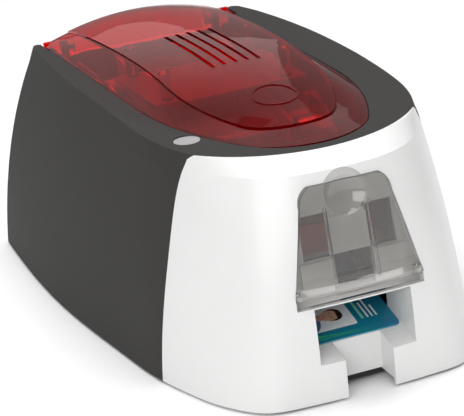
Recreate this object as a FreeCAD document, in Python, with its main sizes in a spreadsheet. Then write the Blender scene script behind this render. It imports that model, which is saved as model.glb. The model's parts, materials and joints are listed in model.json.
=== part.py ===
# Desktop printer for plastic cards: a tumblehome case with a dark housing and a
# white front, a domed see-through lid that carries the print head, a hinged front
# door over the blank cards and an open tray that holds the printed card.
# Millimetres and degrees. +Z up, the front faces -Y, +X is right seen from the front,
# and the origin lies on the table below the middle of the printer.
import FreeCAD, Part
import Sketcher
import math
import os
import re
from FreeCAD import Vector

doc = FreeCAD.newDocument("card_printer")

# Driving dimensions, each written once
driving = {
    # case
    "caseHalf": 107.9, "caseReach": 183.0, "footStand": 1.5, "creaseHeight": 124.0,
    "caseCeiling": 141.0, "caseWall": 2.5, "rearCorner": 7.0, "archTop": 137.6,
    "archRear": 132.4, "archBreak": 135.0, "archFront": 130.3, "overrun": 20.0,
    # seam between the dark housing and the white front
    "seamMid": 148.4, "seamCornerX": 67.6, "seamCornerY": 114.6, "seamFootX": 92.4,
    "seamFootY": 100.3,
    # lid
    "lidHalf": 65.0, "lidNose": 141.0, "lidNoseStart": 22.0, "lidBack": 16.0,
    "lidEdge": 132.6, "lidSkirt": 1.6, "lidWall": 2.2, "lidGap": 0.6, "rimStep": 0.9,
    "ridgeWide": 8.0, "grooveWide": 0.4, "crownHalf": 47.0, "crownNose": 114.5,
    "crownEdge": 140.5, "crownTop": 150.8, "crownSpan": 52.0, "dishTilt": 13.0,
    "seatThick": 1.6, "seatReach": 3.5, "seatBack": 33.0, "slotPitch": 7.1,
    "slotWidth": 2.4, "slotFront": 21.0, "slotRear": 63.0, "padRadius": 13.2,
    "padLine": 1.2, "padRise": 0.5, "padPlace": 77.0,
    "hingeBack": 25.0, "hingeZ": 129.5, "hingePin": 2.0, "runFit": 0.06, "lugIn": 46.0,
    "lugThick": 4.0, "earGap": 0.4, "earRadius": 4.0, "skirtFoot": 122.6,
    "notchFoot": 121.8, "headBossX": 38.0, "headBossRadius": 3.4,
    "headBossFront": 0.0, "headBossRear": 62.0, "carrierTop": 128.5,
    # front door and its pocket
    "doorY": 172.0, "doorZ": 62.0, "doorTilt": 10.0, "doorTall": 56.0, "doorThick": 2.0,
    "doorFootHalf": 36.4, "doorTopHalf": 20.0, "doorShoulder": 26.5, "doorFace": 3.8,
    "doorEdgeFace": 1.8, "doorLip": 11.0, "doorLipEdge": 4.5, "lipDrop": 1.5,
    "lipRise": 8.0, "doorGap": 0.6, "doorRib": 12.6, "ribThick": 1.2, "ribDeep": 2.4,
    "doorPin": 1.5, "doorLug": 3.0, "lugWide": 3.4, "lipThick": 1.7,
    "pocketFloor": 7.5, "pocketWall": 2.2,
    "bowlHeight": 49.5, "bowlRadius": 12.3, "bowlDeep": 5.0, "bowlWall": 1.4,
    # feeder window behind the door
    "bezelFront": 3.6, "bezelThick": 2.0, "sillHalf": 30.5, "sillFoot": 3.0,
    "sillTop": 15.5, "sillRise": 2.4, "thumbFoot": 3.0, "tongueRise": 1.8,
    "bezelFit": 0.1, "windowHalf": 27.0, "windowTop": 40.5,
    "windowFoot": 16.5, "tongueHalf": 11.0, "tongueFoot": 17.5, "thumbHalf": 12.0,
    # output bay, card and tray
    "cardWide": 54.0, "cardLong": 85.6, "cardThick": 0.76, "cardPlay": 1.0,
    "trayTilt": 15.0, "trayY": 79.0, "trayZ": 50.0, "cardLift": 0.2, "bayTop": 54.5,
    "bayWall": 2.6, "bayRear": 125.0, "notchHalf": 14.0, "notchPlace": 162.6,
    "ceilingFront": 166.0,
    "notchWall": 2.2, "trayThick": 2.2, "recessFoot": 6.0,
    # seat of the lid, hinge ears, sockets, button and lamps in the housing
    "seatFoot": 129.0, "earFoot": 98.0, "earGusset": 8.0,
    "powerX": 62.0, "powerZ": 30.0, "powerWide": 11.0, "powerHigh": 11.0,
    "usbX": 38.0, "usbZ": 30.0, "usbWide": 12.0, "usbHigh": 11.0,
    "lockX": -60.0, "lockZ": 28.0, "lockWide": 7.0, "lockHigh": 3.2,
    "buttonX": 59.6, "buttonY": 93.5, "buttonRadius": 7.4, "buttonGap": 0.4,
    "lampX": 66.4, "lampFront": 60.0, "lampRear": 38.2, "lampRadius": 1.3,
    "buttonTop": 133.6, "buttonTall": 9.0, "flangeWide": 1.6, "flangeThick": 2.0,
    "postRadius": 2.0, "postPlace": 11.8, "switchTop": 122.6, "switchThick": 1.6,
    "switchHalf": 13.8, "switchWide": 6.0, "pressGap": 1.2,
    # base and feet
    "footTall": 2.0, "footRadius": 8.0, "footX": 58.0, "footY": 124.0, "footRearX": 80.0,
    "footBack": 33.0, "baseThick": 2.5, "baseGap": 2.6, "joinGap": 0.3, "seatTall": 6.5,
    "seatRadius": 5.0, "seatX": 42.0, "seatFrontY": 60.0, "seatRearY": 110.0,
    "bracketX": 96.0, "bracketFrontX": 86.0, "bracketRadius": 4.0, "bracketY": 60.0,
    "bracketBack": 53.0, "bracketTall": 18.0, "screwRadius": 1.5, "screwHead": 2.8,
    "screwCap": 1.2, "screwLong": 9.0,
    # chassis plates
    "chassisHalf": 52.0, "chassisThick": 1.5, "chassisRear": 128.0, "chassisFloor": 78.0,
    "chassisFront": 114.0, "chassisLow": 26.0, "chassisTop": 126.0, "chassisStep": 60.0,
    "chassisFall": 40.0, "chassisMid": 112.0, "chassisNeck": 20.0, "chassisBrow": 96.0,
    # rollers and their bushes
    "shaftRadius": 3.0, "shaftOver": 9.0, "bushRadius": 5.0, "bushOver": 1.0,
    "rollerZ": 68.6, "entryY": 52.0, "pickRadius": 8.4, "pickHalf": 13.0,
    "entryRadius": 8.0, "driveRadius": 7.5, "rollerHalf": 25.0, "platenHalf": 28.0,
    "nipDeep": 7.7, "platenPlace": 135.0, "pinchRadius": 5.0, "pinchEnd": 2.0,
    "entryNip": 14.1, "driveNip": 6.1, "cleanRadius": 6.0, "cleanY": 28.0, "cleanZ": 83.7,
    # gears
    "gearModule": 0.8, "gearSlack": 0.15, "gearWide": 4.5, "gearGap": 2.0, "studRadius": 2.0,
    "studCap": 3.2, "studCapThick": 1.2, "motorRadius": 17.5, "motorShaft": 1.5,
    "motorHole": 2.5, "cardMotorLong": 22.0, "feedMotorLong": 19.0,
    # card path
    "trackHalf": 30.5, "trackThick": 2.0, "trackRail": 2.5, "railTall": 3.5,
    "trackStart": 2.0, "trackEnd": 200.0, "guideTop": 76.5, "guideFront": 69.5,
    "guideRear": 4.0, "slotPlay": 1.0, "wingOne": 60.0, "wingOneEnd": 75.0,
    "wingTwo": 185.0, "wingTwoEnd": 197.0, "entryWing": 30.0, "entryWingEnd": 18.0,
    "magazineFront": 154.0, "magazineRear": 70.0, "magazineTop": 106.0, "magazineWing": 112.0,
    "magazineWingEnd": 98.0, "gateGap": 1.6, "gateThick": 1.5, "cardCorner": 3.2,
    "trayFront": 124.7, "trayRear": 80.0, "trayRail": 4.0,
    # ribbon
    "spoolRise": 24.0, "takeupPlace": 97.0, "supplyPlace": 173.0, "spoolCore": 5.0,
    "takeupWrap": 10.0, "supplyWrap": 14.0, "wrapHalf": 28.0, "coreHalf": 32.6,
    "cheekIn": 33.5, "cheekThick": 2.5, "cheekFront": 80.0, "cheekRear": 194.0,
    "cheekTop": 34.0, "cheekFoot": 14.0, "lobeFront": 113.0, "lobeRear": 157.0,
    "lobeFoot": 1.0, "barRadius": 2.5, "barRise": 25.0, "barFront": 84.0, "barRear": 190.5,
    "guidePlace": 15.5, "guideRise": 3.0, "guideRadius": 1.5, "filmRise": 1.05,
    "filmThick": 0.2, "filmGap": 0.3, "bossRadius": 5.0, "bossSlot": 0.2,
    "ribbonGearX": 55.0, "ribbonGearWide": 4.0, "ribbonMotor": 12.0, "ribbonMotorLong": 14.9,
    # print head and its carrier under the lid
    "carrierThick": 2.5, "carrierHalf": 48.0, "carrierFront": 8.0, "carrierRear": 67.5,
    "headHalf": 27.4, "headStart": 127.0, "headEnd": 145.0, "headRise": 1.6,
    "headThick": 3.0, "sinkThick": 4.5, "sinkHalf": 25.0, "webFront": 47.0, "webRear": 51.0,
    "webFoot": 93.0, "finFront": 42.5, "finRear": 56.0, "finFoot": 97.0, "finPitch": 12.0,
    "finThick": 2.0,
    # electronics at the back
    "boardLeft": 20.0, "boardRight": 82.0, "boardDeep": 44.0, "boardBack": 7.0,
    "boardThick": 1.6, "boardEdge": 5.0, "standRadius": 3.0, "socketDeep": 15.0,
    "socketBack": 2.4, "socketFit": 0.3, "socketWall": 1.5, "socketHollow": 9.0,
    "tongueThick": 1.8, "pinRadius": 1.0,
}

names = sorted(driving, key=len, reverse=True)
sheet = doc.addObject("Spreadsheet::Sheet", "sizes")
for row, (name, number) in enumerate(driving.items(), start=1):
    sheet.set("A%d" % row, name)
    sheet.set("B%d" % row, repr(number))
    sheet.setAlias("B%d" % row, name)
doc.recompute()

subParts = []

# Places that follow the rear wall
lidRear = "(caseReach - lidBack)"
hingeY = "(caseReach - hingeBack)"
bracketRearY = "(caseReach - bracketBack)"
footRearY = "(caseReach - footBack)"
boardRear = "(caseReach - boardBack)"
boardFront = "(caseReach - boardBack - boardDeep)"
socketRear = "(caseReach - socketBack)"


# Expressions: a size's bare name becomes a reference to its cell
def bound(text):
    return re.sub(r"[A-Za-z]\w*", lambda word: "sizes." + word.group()
                  if word.group() in driving else word.group(), text)


def val(text):
    return float(sheet.evalExpression(bound(text)))


def keep(item, label):
    item.Label = label
    subParts.append(item)
    return item


def shaped(label, shape):
    item = doc.addObject("Part::Feature", label)
    item.Shape = shape
    return keep(item, label)


# Case outline at four heights: shares of the half width and of the half depth,
# from the rear corner round the side to the middle of the front
caseShares = [
    (0.0, [(0.968, 1.0), (0.996, 0.601), (0.996, 0.273), (0.956, -0.063),
           (0.913, -0.306), (0.856, -0.546), (0.803, -0.661), (0.740, -0.776),
           (0.648, -0.880), (0.528, -0.951), (0.380, -0.970), (0.0, -0.980)]),
    (0.5, [(0.885, 0.981), (0.922, 0.590), (0.927, 0.273), (0.899, -0.066),
           (0.855, -0.311), (0.792, -0.552), (0.737, -0.661), (0.665, -0.770),
           (0.570, -0.869), (0.454, -0.932), (0.320, -0.955), (0.0, -0.964)]),
    (0.766, [(0.802, 0.959), (0.848, 0.579), (0.865, 0.273), (0.851, -0.066),
             (0.814, -0.311), (0.741, -0.557), (0.690, -0.656), (0.612, -0.757),
             (0.510, -0.842), (0.399, -0.893), (0.278, -0.920), (0.0, -0.932)]),
    (1.0, [(0.704, 0.926), (0.760, 0.590), (0.788, 0.273), (0.781, -0.066),
           (0.765, -0.301), (0.709, -0.530), (0.635, -0.639), (0.528, -0.742),
           (0.420, -0.814), (0.306, -0.856), (0.185, -0.877), (0.0, -0.885)]),
]
ceilingShares = [(0.647, 0.910), (0.708, 0.579), (0.738, 0.273), (0.735, -0.066),
                 (0.718, -0.301), (0.668, -0.519), (0.598, -0.617), (0.454, -0.677),
                 (0.331, -0.695), (0.222, -0.703), (0.120, -0.719), (0.0, -0.737)]


def caseWire(shares, height, inset):
    half = val("caseHalf")
    reach = val("caseReach")
    corner = val("rearCorner")
    right = [Vector(x * half, y * reach, height) for x, y in shares]
    rearY = right[0].y - inset
    loop = right + [Vector(-p.x, p.y, height) for p in reversed(right[:-1])]
    moved = []
    for index, point in enumerate(loop):
        before = loop[max(index - 1, 0)]
        after = loop[min(index + 1, len(loop) - 1)]
        along = (after - before).normalize()
        moved.append(point + Vector(along.y, -along.x, 0) * inset)
    moved[0].y = rearY - corner
    moved[-1].y = rearY - corner
    first = moved[0]
    last = moved[-1]
    spline = Part.BSplineCurve()
    spline.interpolate(moved)
    turn = corner * (1 - math.sqrt(0.5))
    leftArc = Part.Arc(last, Vector(last.x + turn, rearY - turn, height),
                       Vector(last.x + corner, rearY, height))
    rightArc = Part.Arc(Vector(first.x - corner, rearY, height),
                        Vector(first.x - turn, rearY - turn, height), first)
    back = Part.LineSegment(leftArc.EndPoint, rightArc.StartPoint)
    return Part.Wire([spline.toShape(), leftArc.toShape(), back.toShape(), rightArc.toShape()])


def caseSolid(inset, foot):
    crease = val("creaseHeight")
    lower = []
    for share, shares in caseShares:
        height = crease * share if share else foot
        lower.append(caseWire(shares, height, inset))
    upper = [lower[-1], caseWire(ceilingShares, val("caseCeiling"), inset)]
    body = Part.makeLoft(lower, True, False)
    cap = Part.makeLoft(upper, True, True)
    return body.fuse(cap)


def underArch(drop):
    reach = val("caseReach + overrun")
    wide = val("caseHalf + overrun")
    rear = Vector(-wide, val("caseReach"), val("archRear") - drop)
    top = Vector(-wide, val("caseReach") * archTopShare, val("archTop") - drop)
    fold = Vector(-wide, val("caseReach") * archBreakShare, val("archBreak") - drop)
    front = Vector(-wide, -val("caseReach"), val("archFront") - drop)
    floor = -val("overrun")
    edges = [Part.Arc(rear, top, fold).toShape(), Part.makeLine(fold, front),
             Part.makeLine(front, Vector(-wide, -val("caseReach"), floor)),
             Part.makeLine(Vector(-wide, -val("caseReach"), floor), Vector(-wide, rear.y, floor)),
             Part.makeLine(Vector(-wide, rear.y, floor), rear)]
    return Part.Face(Part.Wire(edges)).extrude(Vector(2 * wide, 0, 0))


archTopShare = 0.21
archBreakShare = -0.35


# Horseshoe outlines of the lid: shares of the half width and of the nose length
# for the end of the straight side, the side arc's middle and the side arc's end
lidSideShares = (0.954, (0.84, 0.43), (0.606, 0.786))
crownSideShares = (0.950, (0.872, 0.39), (0.638, 0.768))


def horseshoe(shares, half, nose, rear, height):
    start = val("lidNoseStart")
    straight, (midX, midY), (endX, endY) = shares
    side = Vector(half * straight, -start, height)
    mid = Vector(half * midX, -start - midY * (nose - start), height)
    end = Vector(half * endX, -start - endY * (nose - start), height)
    corner = Vector(half, rear, height)

    def left(point):
        return Vector(-point.x, point.y, point.z)

    return [Part.makeLine(corner, side), Part.Arc(side, mid, end).toShape(),
            Part.Arc(end, Vector(0, -nose, height), left(end)).toShape(),
            Part.Arc(left(end), left(mid), left(side)).toShape(),
            Part.makeLine(left(side), left(corner)), Part.makeLine(left(corner), corner)]


def lidWire(inset, height, rear=None):
    reach = val(lidRear) - inset if rear is None else rear
    return Part.Wire(horseshoe(lidSideShares, val("lidHalf") - inset, val("lidNose") - inset,
                               reach, height))


def crownEdges(inset, height, rear):
    return horseshoe(crownSideShares, val("crownHalf") - inset, val("crownNose") - inset,
                     rear, height)


# Crown outline laid on the crown's own surface, one step below it
def crownLoop(inset, drop, rear):
    crown = crownSolid(drop + val("rimStep"))
    loop = []
    for edge in crownEdges(inset, val("lidEdge"), rear):
        points = []
        for spot in edge.discretize(Number=9):
            line = Part.makeLine(Vector(spot.x, spot.y, val("lidEdge - lidSkirt") - drop),
                                 Vector(spot.x, spot.y, val("crownTop + overrun")))
            points.append(Vector(spot.x, spot.y, line.common(crown).BoundBox.ZMax))
        spline = Part.BSplineCurve()
        spline.interpolate(points)
        loop.append(spline.toShape())
    return Part.Wire(loop)


def prism(wire, tall):
    return Part.Face(wire).extrude(Vector(0, 0, tall))


# Crown of the lid: how far back each station lies, how high its middle stands and
# how high its sides stand
crownShares = [(0.98, 0.175, -0.592), (0.546, 0.864, 0.340), (0.191, 1.0, 0.544),
               (-0.137, 0.903, 0.117), (-0.437, 0.262, -0.990), (-0.74, -0.786, -2.18)]


def crownSolid(drop):
    span = val("crownSpan")
    edge = val("crownEdge") - drop
    rise = val("crownTop - crownEdge")
    floor = val("lidEdge - overrun")
    stations = []
    for along, high, low in crownShares:
        place = along * val("caseReach")
        left = Vector(-span, place, edge + rise * low)
        right = Vector(span, place, edge + rise * low)
        arc = Part.Arc(left, Vector(0, place, edge + rise * high), right)
        foot = [Vector(span, place, floor), Vector(-span, place, floor)]
        stations.append(Part.Wire([arc.toShape(), Part.makeLine(right, foot[0]),
                                   Part.makeLine(foot[0], foot[1]), Part.makeLine(foot[1], left)]))
    return Part.makeLoft(stations, True, False)


def block(x0, x1, y0, y1, z0, z1):
    return Part.makeBox(x1 - x0, y1 - y0, z1 - z0, Vector(x0, y0, z0))


def rodX(radius, x0, x1, y, z):
    return Part.makeCylinder(radius, x1 - x0, Vector(x0, y, z), Vector(1, 0, 0))


def rodZ(radius, x, y, z0, z1):
    return Part.makeCylinder(radius, z1 - z0, Vector(x, y, z0), Vector(0, 0, 1))


def bothSides(shape):
    return shape.fuse(shape.mirror(Vector(0, 0, 0), Vector(1, 0, 0)))


def dish(drop):
    spread = val("overrun * 3")
    rear = val("caseReach + overrun")
    low = lidWire(0, val("lidEdge") - drop, rear)
    high = Part.Wire(horseshoe(
        lidSideShares, val("lidHalf") + spread, val("lidNose") + spread, rear,
        val("lidEdge") - drop + spread * math.tan(math.radians(val("dishTilt")))))
    return Part.makeLoft([low, high], True, True)


def seamFront():
    reach = val("caseReach + overrun")
    wide = val("caseHalf + overrun")
    cornerX = val("seamCornerX")
    cornerY = -val("seamCornerY")
    slope = (val("seamFootY") + cornerY) / (val("seamFootX") - cornerX)
    corner = Vector(cornerX, cornerY, 0)
    foot = Vector(wide, cornerY - slope * (wide - cornerX), 0)
    end = Vector(wide, -reach, 0)

    def left(point):
        return Vector(-point.x, point.y, 0)

    edges = [Part.Arc(left(corner), Vector(0, -val("seamMid"), 0), corner).toShape(),
             Part.makeLine(corner, foot), Part.makeLine(foot, end), Part.makeLine(end, left(end)),
             Part.makeLine(left(end), left(foot)), Part.makeLine(left(foot), left(corner))]
    lift = val("overrun")
    return Part.Face(Part.Wire(edges)).extrude(Vector(0, 0, val("caseCeiling") + 2 * lift)) \
        .translated(Vector(0, 0, -lift))


# The doors, tray and track have frames of their own, tilted about X
def tilted(shape, frame):
    shape.Placement = framePlace(frame).multiply(shape.Placement)
    return shape


def framePlace(frame):
    y, z, tilt = frames[frame]
    turn = FreeCAD.Rotation(Vector(1, 0, 0), val(tilt))
    return FreeCAD.Placement(Vector(0, val(y), val(z)), turn)


frames = {"door": ("-doorY", "doorZ", "-doorTilt"), "track": ("-trayY", "trayZ", "trayTilt"),
          "case": ("0", "0", "0")}

wall = val("caseWall")
outerCase = caseSolid(0, val("footStand")).common(underArch(0))
innerCase = caseSolid(wall, val("footStand") - val("overrun")).common(underArch(wall))
frontRegion = seamFront()


# Dark housing: sides, back and top frame in one moulding
def housing():
    rear = val("caseReach + overrun")
    seat = val("seatFoot + seatThick")
    tall = val("overrun * 2")
    opening = val("lidHalf + lidGap")
    lidDish = dish(0)
    frame = outerCase.common(dish(val("lidEdge - seatFoot")))
    holes = [lidDish, frontRegion, prism(lidWire(0, seat, rear), tall),
             prism(lidWire(val("seatReach"), val("seatFoot - overrun / 2"), rear), tall),
             block(-opening, opening, val("caseReach - seatBack"), rear, val("notchFoot"),
                   val("caseCeiling")),
             slotAt("lock", rear), slotAt("power", rear), slotAt("usb", rear),
             rodZ(val("buttonRadius + buttonGap"), -val("buttonX"), -val("buttonY"),
                  val("creaseHeight"), val("caseCeiling"))]
    for place in (val("lampFront"), val("lampRear")):
        holes.append(rodZ(val("lampRadius"), -val("lampX"), -place, val("creaseHeight"),
                          val("caseCeiling")))
    shell = outerCase.cut(innerCase).fuse(frame).cut(holes)
    below = underArch(wall / 2)
    posts = [rodZ(val("postRadius"), -val("buttonX"), -val("buttonY") + place,
                  val("switchTop"), val("caseCeiling")).common(below)
             for place in (-val("postPlace"), val("postPlace"))]
    ear = hingeEar()
    return shell.fuse(posts + [ear, ear.mirror(Vector(0, 0, 0), Vector(1, 0, 0))] + brackets())


# Brackets on the inner side walls, which the base is screwed to
def brackets():
    found = []
    low = val("footTall + baseThick")
    radius = val("bracketRadius")
    for x, y in (("bracketFrontX", "-bracketY"), ("bracketX", bracketRearY)):
        x = val(x)
        y = val(y)
        post = rodZ(radius, x, y, low, low + val("bracketTall"))
        rib = block(x, val("caseHalf"), y - radius / 2, y + radius / 2, low,
                    low + val("bracketTall"))
        bore = rodZ(val("screwRadius"), x, y, low, low + val("screwLong"))
        one = post.fuse(rib).common(outerCase).cut(bore)
        found += [one, one.mirror(Vector(0, 0, 0), Vector(1, 0, 0))]
    return found


def slotAt(socket, rear):
    x, z, wide, high = [val(socket + part) for part in ("X", "Z", "Wide", "High")]
    return block(x - wide / 2, x + wide / 2, val("caseReach - overrun"), rear,
                 z - high / 2, z + high / 2)


# Ear behind the lid's lug: a narrow stem on a gusset, bored for the hinge pin
def hingeEar():
    inner = val("lugIn + lugThick + earGap")
    thick = val("lugThick")
    y = val(hingeY)
    radius = val("earRadius")
    stem = block(inner, inner + thick, y - radius, y + val("hingePin / 2"), val("earFoot"),
                 val("hingeZ"))
    gusset = block(inner, inner + thick, y - radius, val(lidRear + " + caseWall + earGusset / 4"),
                   val("earFoot"), val("earFoot + earGusset * 2"))
    ear = rodX(radius, inner, inner + thick, y, val("hingeZ")).fuse([stem, gusset])
    return ear.cut(rodX(val("hingePin"), inner, inner + thick, y, val("hingeZ")))


shaped("main_housing", housing())


# Lid: a sloping rim, a crowned middle, a short skirt and two hinge lugs
def lidBody(inset, drop):
    low = val("lidEdge") - drop
    rear = val(lidRear + " - lidGap") - inset
    inner = crownEdges(val("ridgeWide") + inset, low + val("grooveWide"), rear - val("ridgeWide"))
    rim = Part.makeLoft([lidWire(val("lidGap") + inset, low), crownLoop(inset / 4, drop, rear),
                         Part.Wire(inner)], True, True)
    plateau = crownEdges(val("grooveWide") + inset / 2, low, rear - val("grooveWide"))
    crown = crownSolid(drop).common(prism(Part.Wire(plateau), val("overrun * 2")))
    foot = val("lidEdge - lidSkirt") - inset
    skirt = prism(lidWire(val("lidGap") + inset, foot), val("lidEdge") - drop - foot)
    return rim.fuse([crown, skirt])


def lidShape():
    thick = val("lidWall")
    outer = lidBody(0, 0)
    rearY = val(lidRear + " - lidGap")
    half = val("lidHalf - lidGap")
    high = val("lidEdge + lidSkirt")
    skirts = [block(-half, half, rearY - thick, rearY, val("skirtFoot"), high)]
    lug = val("lugIn")
    earEnd = val("lugIn + 2 * lugThick + 2 * earGap")
    slot = block(lug - val("earGap"), earEnd, rearY - 2 * thick, rearY + thick,
                 val("skirtFoot - overrun"), val("lidEdge - lidSkirt"))
    y = val(hingeY)
    z = val("hingeZ")
    lugs = [rodX(val("earRadius"), lug, lug + val("lugThick"), y, z),
            block(lug, lug + val("lugThick"), y - val("earRadius"), rearY - thick / 2, z,
                  val("crownTop"))]
    lugShape = bothSides(lugs[0].fuse(lugs[1]).common(
        outer.fuse(block(0, half, 0, rearY, 0, val("lidEdge")))))
    bosses = []
    for x in (-val("headBossX"), val("headBossX")):
        for place in (val("headBossFront"), val("headBossRear")):
            boss = rodZ(val("headBossRadius"), x, place, val("carrierTop"), val("crownTop"))
            bosses.append(boss.common(outer.fuse(block(-half, half, 0 - half, rearY, 0,
                                                       val("lidEdge")))))
    hollow = lidBody(thick, thick)
    shape = outer.cut(hollow).fuse(skirts).cut([slot, slot.mirror(Vector(0, 0, 0), Vector(1, 0, 0))])
    shape = shape.fuse([lugShape, padRing()] + bosses)
    cutters = [rodX(val("hingePin + runFit"), -half, half, y, z)]
    for count in range(-2, 3):
        x = count * val("slotPitch")
        cutters.append(block(x - val("slotWidth / 2"), x + val("slotWidth / 2"),
                             -val("slotFront"), val("slotRear"), val("carrierTop"),
                             val("crownTop + overrun")))
    return shape.cut(cutters)


# Raised line round the press pad at the front of the lid
def padRing():
    y = -val("padPlace")
    ring = rodZ(val("padRadius"), 0, y, val("lidEdge"), val("crownTop"))
    ring = ring.cut(rodZ(val("padRadius - padLine"), 0, y, val("lidEdge"), val("crownTop")))
    return crownSolid(-val("padRise")).common(ring).cut(crownSolid(val("lidWall / 2")))


shaped("lid", lidShape())


# Door outline in its own frame: x across, z up the door and -y out of the front
def doorWire(grow, foot):
    half = val("doorFootHalf") + grow
    shoulder = val("doorShoulder") + grow
    top = val("doorTall") + grow
    bend = val("doorTopHalf") + grow
    low = top - (half - bend) * doorBendShare
    y = val("overrun")
    mid = Vector((shoulder + bend) / 2 + grow / 2 + (shoulder - bend) * doorSwellShare, y,
                 (low + top) / 2 + (shoulder - bend) * doorSwellShare)
    corners = [Vector(half, y, foot), Vector(half, y, 0), Vector(shoulder, y, low)]

    def left(point):
        return Vector(-point.x, point.y, point.z)

    tip = Vector(bend, y, top)
    edges = [Part.makeLine(corners[0], corners[1]), Part.makeLine(corners[1], corners[2]),
             Part.Arc(corners[2], mid, tip).toShape(), Part.makeLine(tip, left(tip)),
             Part.Arc(left(tip), left(mid), left(corners[2])).toShape(),
             Part.makeLine(left(corners[2]), left(corners[1])),
             Part.makeLine(left(corners[1]), left(corners[0])),
             Part.makeLine(left(corners[0]), corners[0])]
    return Part.Wire(edges)


doorBendShare = 0.68
doorSwellShare = 0.2


# Prism of the door outline from one depth behind the door plane to the open front
def doorPrism(grow, foot, behind):
    face = Part.Face(doorWire(grow, foot)).translated(Vector(0, behind - val("overrun"), 0))
    return face.extrude(Vector(0, -behind - val("overrun"), 0))


def bandWire(height, face, edgeFace):
    half = val("doorFootHalf")
    thick = val("doorThick")
    outer = Part.Arc(Vector(-half, -edgeFace, height), Vector(0, -face, height),
                     Vector(half, -edgeFace, height)).toShape()
    inner = Part.Arc(Vector(half, thick - edgeFace, height), Vector(0, thick - face, height),
                     Vector(-half, thick - edgeFace, height)).toShape()
    ends = [Part.makeLine(Vector(half, -edgeFace, height), Vector(half, thick - edgeFace, height)),
            Part.makeLine(Vector(-half, thick - edgeFace, height),
                          Vector(-half, -edgeFace, height))]
    return Part.Wire([outer, ends[0], inner, ends[1]])


def bowlBall(grow):
    radius = val("(bowlRadius ^ 2 + bowlDeep ^ 2) / (2 * bowlDeep)")
    centre = Vector(0, -(val("doorFace - bowlDeep") + radius), val("bowlHeight"))
    return Part.makeSphere(radius + grow, centre)


def doorShape():
    drop = val("lipDrop")
    lip = (val("doorLip"), val("doorLipEdge"))
    face = (val("doorFace"), val("doorEdgeFace"))
    flare = [share * outer + (1 - share) * inner
             for share, outer, inner in zip((lipFlareShare,) * 2, lip, face)]
    lipTop = val("lipThick") - drop
    sections = [bandWire(-drop, *lip), bandWire(lipTop, *lip),
                bandWire(lipTop + (val("lipRise") - lipTop) * lipFlareShare, *flare),
                bandWire(val("lipRise"), *face), bandWire(val("doorTall"), *face)]
    band = Part.makeLoft(sections, True, True).common(doorPrism(0, -drop, val("overrun")))
    scoop = bowlBall(val("bowlWall")).common(doorPrism(0, -drop, val("overrun")))
    scoop = scoop.common(block(-val("overrun"), val("overrun"), val("doorThick / 2") - face[0],
                               val("overrun"), 0, val("doorTall")))
    ribs = []
    half = val("doorFootHalf")
    for side in (-1, 1):
        x = side * val("doorRib")
        rib = block(x - val("ribThick / 2"), x + val("ribThick / 2"), -face[1],
                    val("doorThick + ribDeep") - face[0], 0, val("bowlHeight - bowlRadius / 2"))
        ribs.append(rib)
        start = half - val("lugWide") if side > 0 else -half
        lug = rodX(val("doorLug"), start, start + val("lugWide"), 0, 0)
        ribs.append(lug.common(doorPrism(0, -val("doorLug"), val("overrun"))))
    bore = rodX(val("doorPin + runFit"), -half, half, 0, 0)
    return tilted(band.fuse([scoop] + ribs).cut([bowlBall(0), bore]), "door")


lipFlareShare = 0.4
shaped("feeder_door", doorShape())


# White front: shell, door pocket, card bay with its sloping floor and the finger notch
def aboveFloor(drop, rear):
    wide = val("caseHalf")
    front = -val("caseReach")
    start = -rear / math.cos(math.radians(val("trayTilt")))
    return tilted(block(-wide, wide, front, start, -val("cardLift") - drop,
                        val("caseReach")), "track")


def fascia():
    front = outerCase.common(frontRegion)
    reach = val("caseReach + overrun")
    behind = val("bezelFront + bezelThick")
    grow = val("doorGap + pocketWall")
    foot = -val("pocketFloor")
    pocket = tilted(doorPrism(val("doorGap"), foot, behind), "door")
    bowl = tilted(bowlRod(val("bezelFit"), behind), "door")
    liner = tilted(doorPrism(grow, foot - val("pocketWall"), behind), "door")
    bowlLiner = tilted(bowlRod(val("pocketWall"), behind), "door")
    bayHalf = val("cardWide / 2 + cardPlay")
    thick = val("bayWall")
    bayRear = -val("bayRear")
    floor = val("footTall + baseThick + joinGap")
    top = val("bayTop")
    notch = val("notchHalf")
    notchRear = -val("notchPlace")
    rest = val("bayRear - trayY")
    floorPlate = aboveFloor(val("trayThick"), rest).cut(aboveFloor(0, 0))
    floorPlate = floorPlate.common(block(-bayHalf - thick, bayHalf + thick, -reach, bayRear, 0, top))
    below = [block(side * notch - val("notchWall") * (side < 0), side * notch
                   + val("notchWall") * (side > 0), -reach, notchRear + val("notchWall"), floor, top)
             for side in (-1, 1)]
    below.append(block(-notch - val("notchWall"), notch + val("notchWall"), notchRear,
                       notchRear + val("notchWall"), val("recessFoot"), top))
    below = [part.cut(aboveFloor(0, 0)) for part in below]
    walls = [block(side * bayHalf - thick * (side < 0), side * bayHalf + thick * (side > 0),
                   -reach, bayRear, floor, top + thick) for side in (-1, 1)]
    ceiling = block(-bayHalf - thick, bayHalf + thick, -val("ceilingFront"), bayRear, top,
                    top + thick)
    bay = aboveFloor(0, rest - val("overrun")).common(
        block(-bayHalf, bayHalf, -reach, bayRear + thick, 0, top))
    gap = block(-notch, notch, -reach, notchRear, -floor, val("trayZ"))
    pinEnd = val("doorFootHalf + doorGap + pocketWall")
    pins = tilted(rodX(val("doorPin"), -pinEnd, pinEnd, 0, 0), "door")
    holes = [pocket, bowl, bay, gap]
    inside = liner.fuse([bowlLiner, floorPlate, ceiling] + below + walls).cut(holes + [pins])
    shell = front.cut([innerCase, pins] + holes)
    return shell.fuse(front.common(inside))


def bowlRod(grow, behind):
    return Part.makeCylinder(val("bowlRadius + doorGap") + grow, behind + val("overrun"),
                             Vector(0, behind, val("bowlHeight")), Vector(0, -1, 0))


shaped("front_fascia", fascia())


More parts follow.
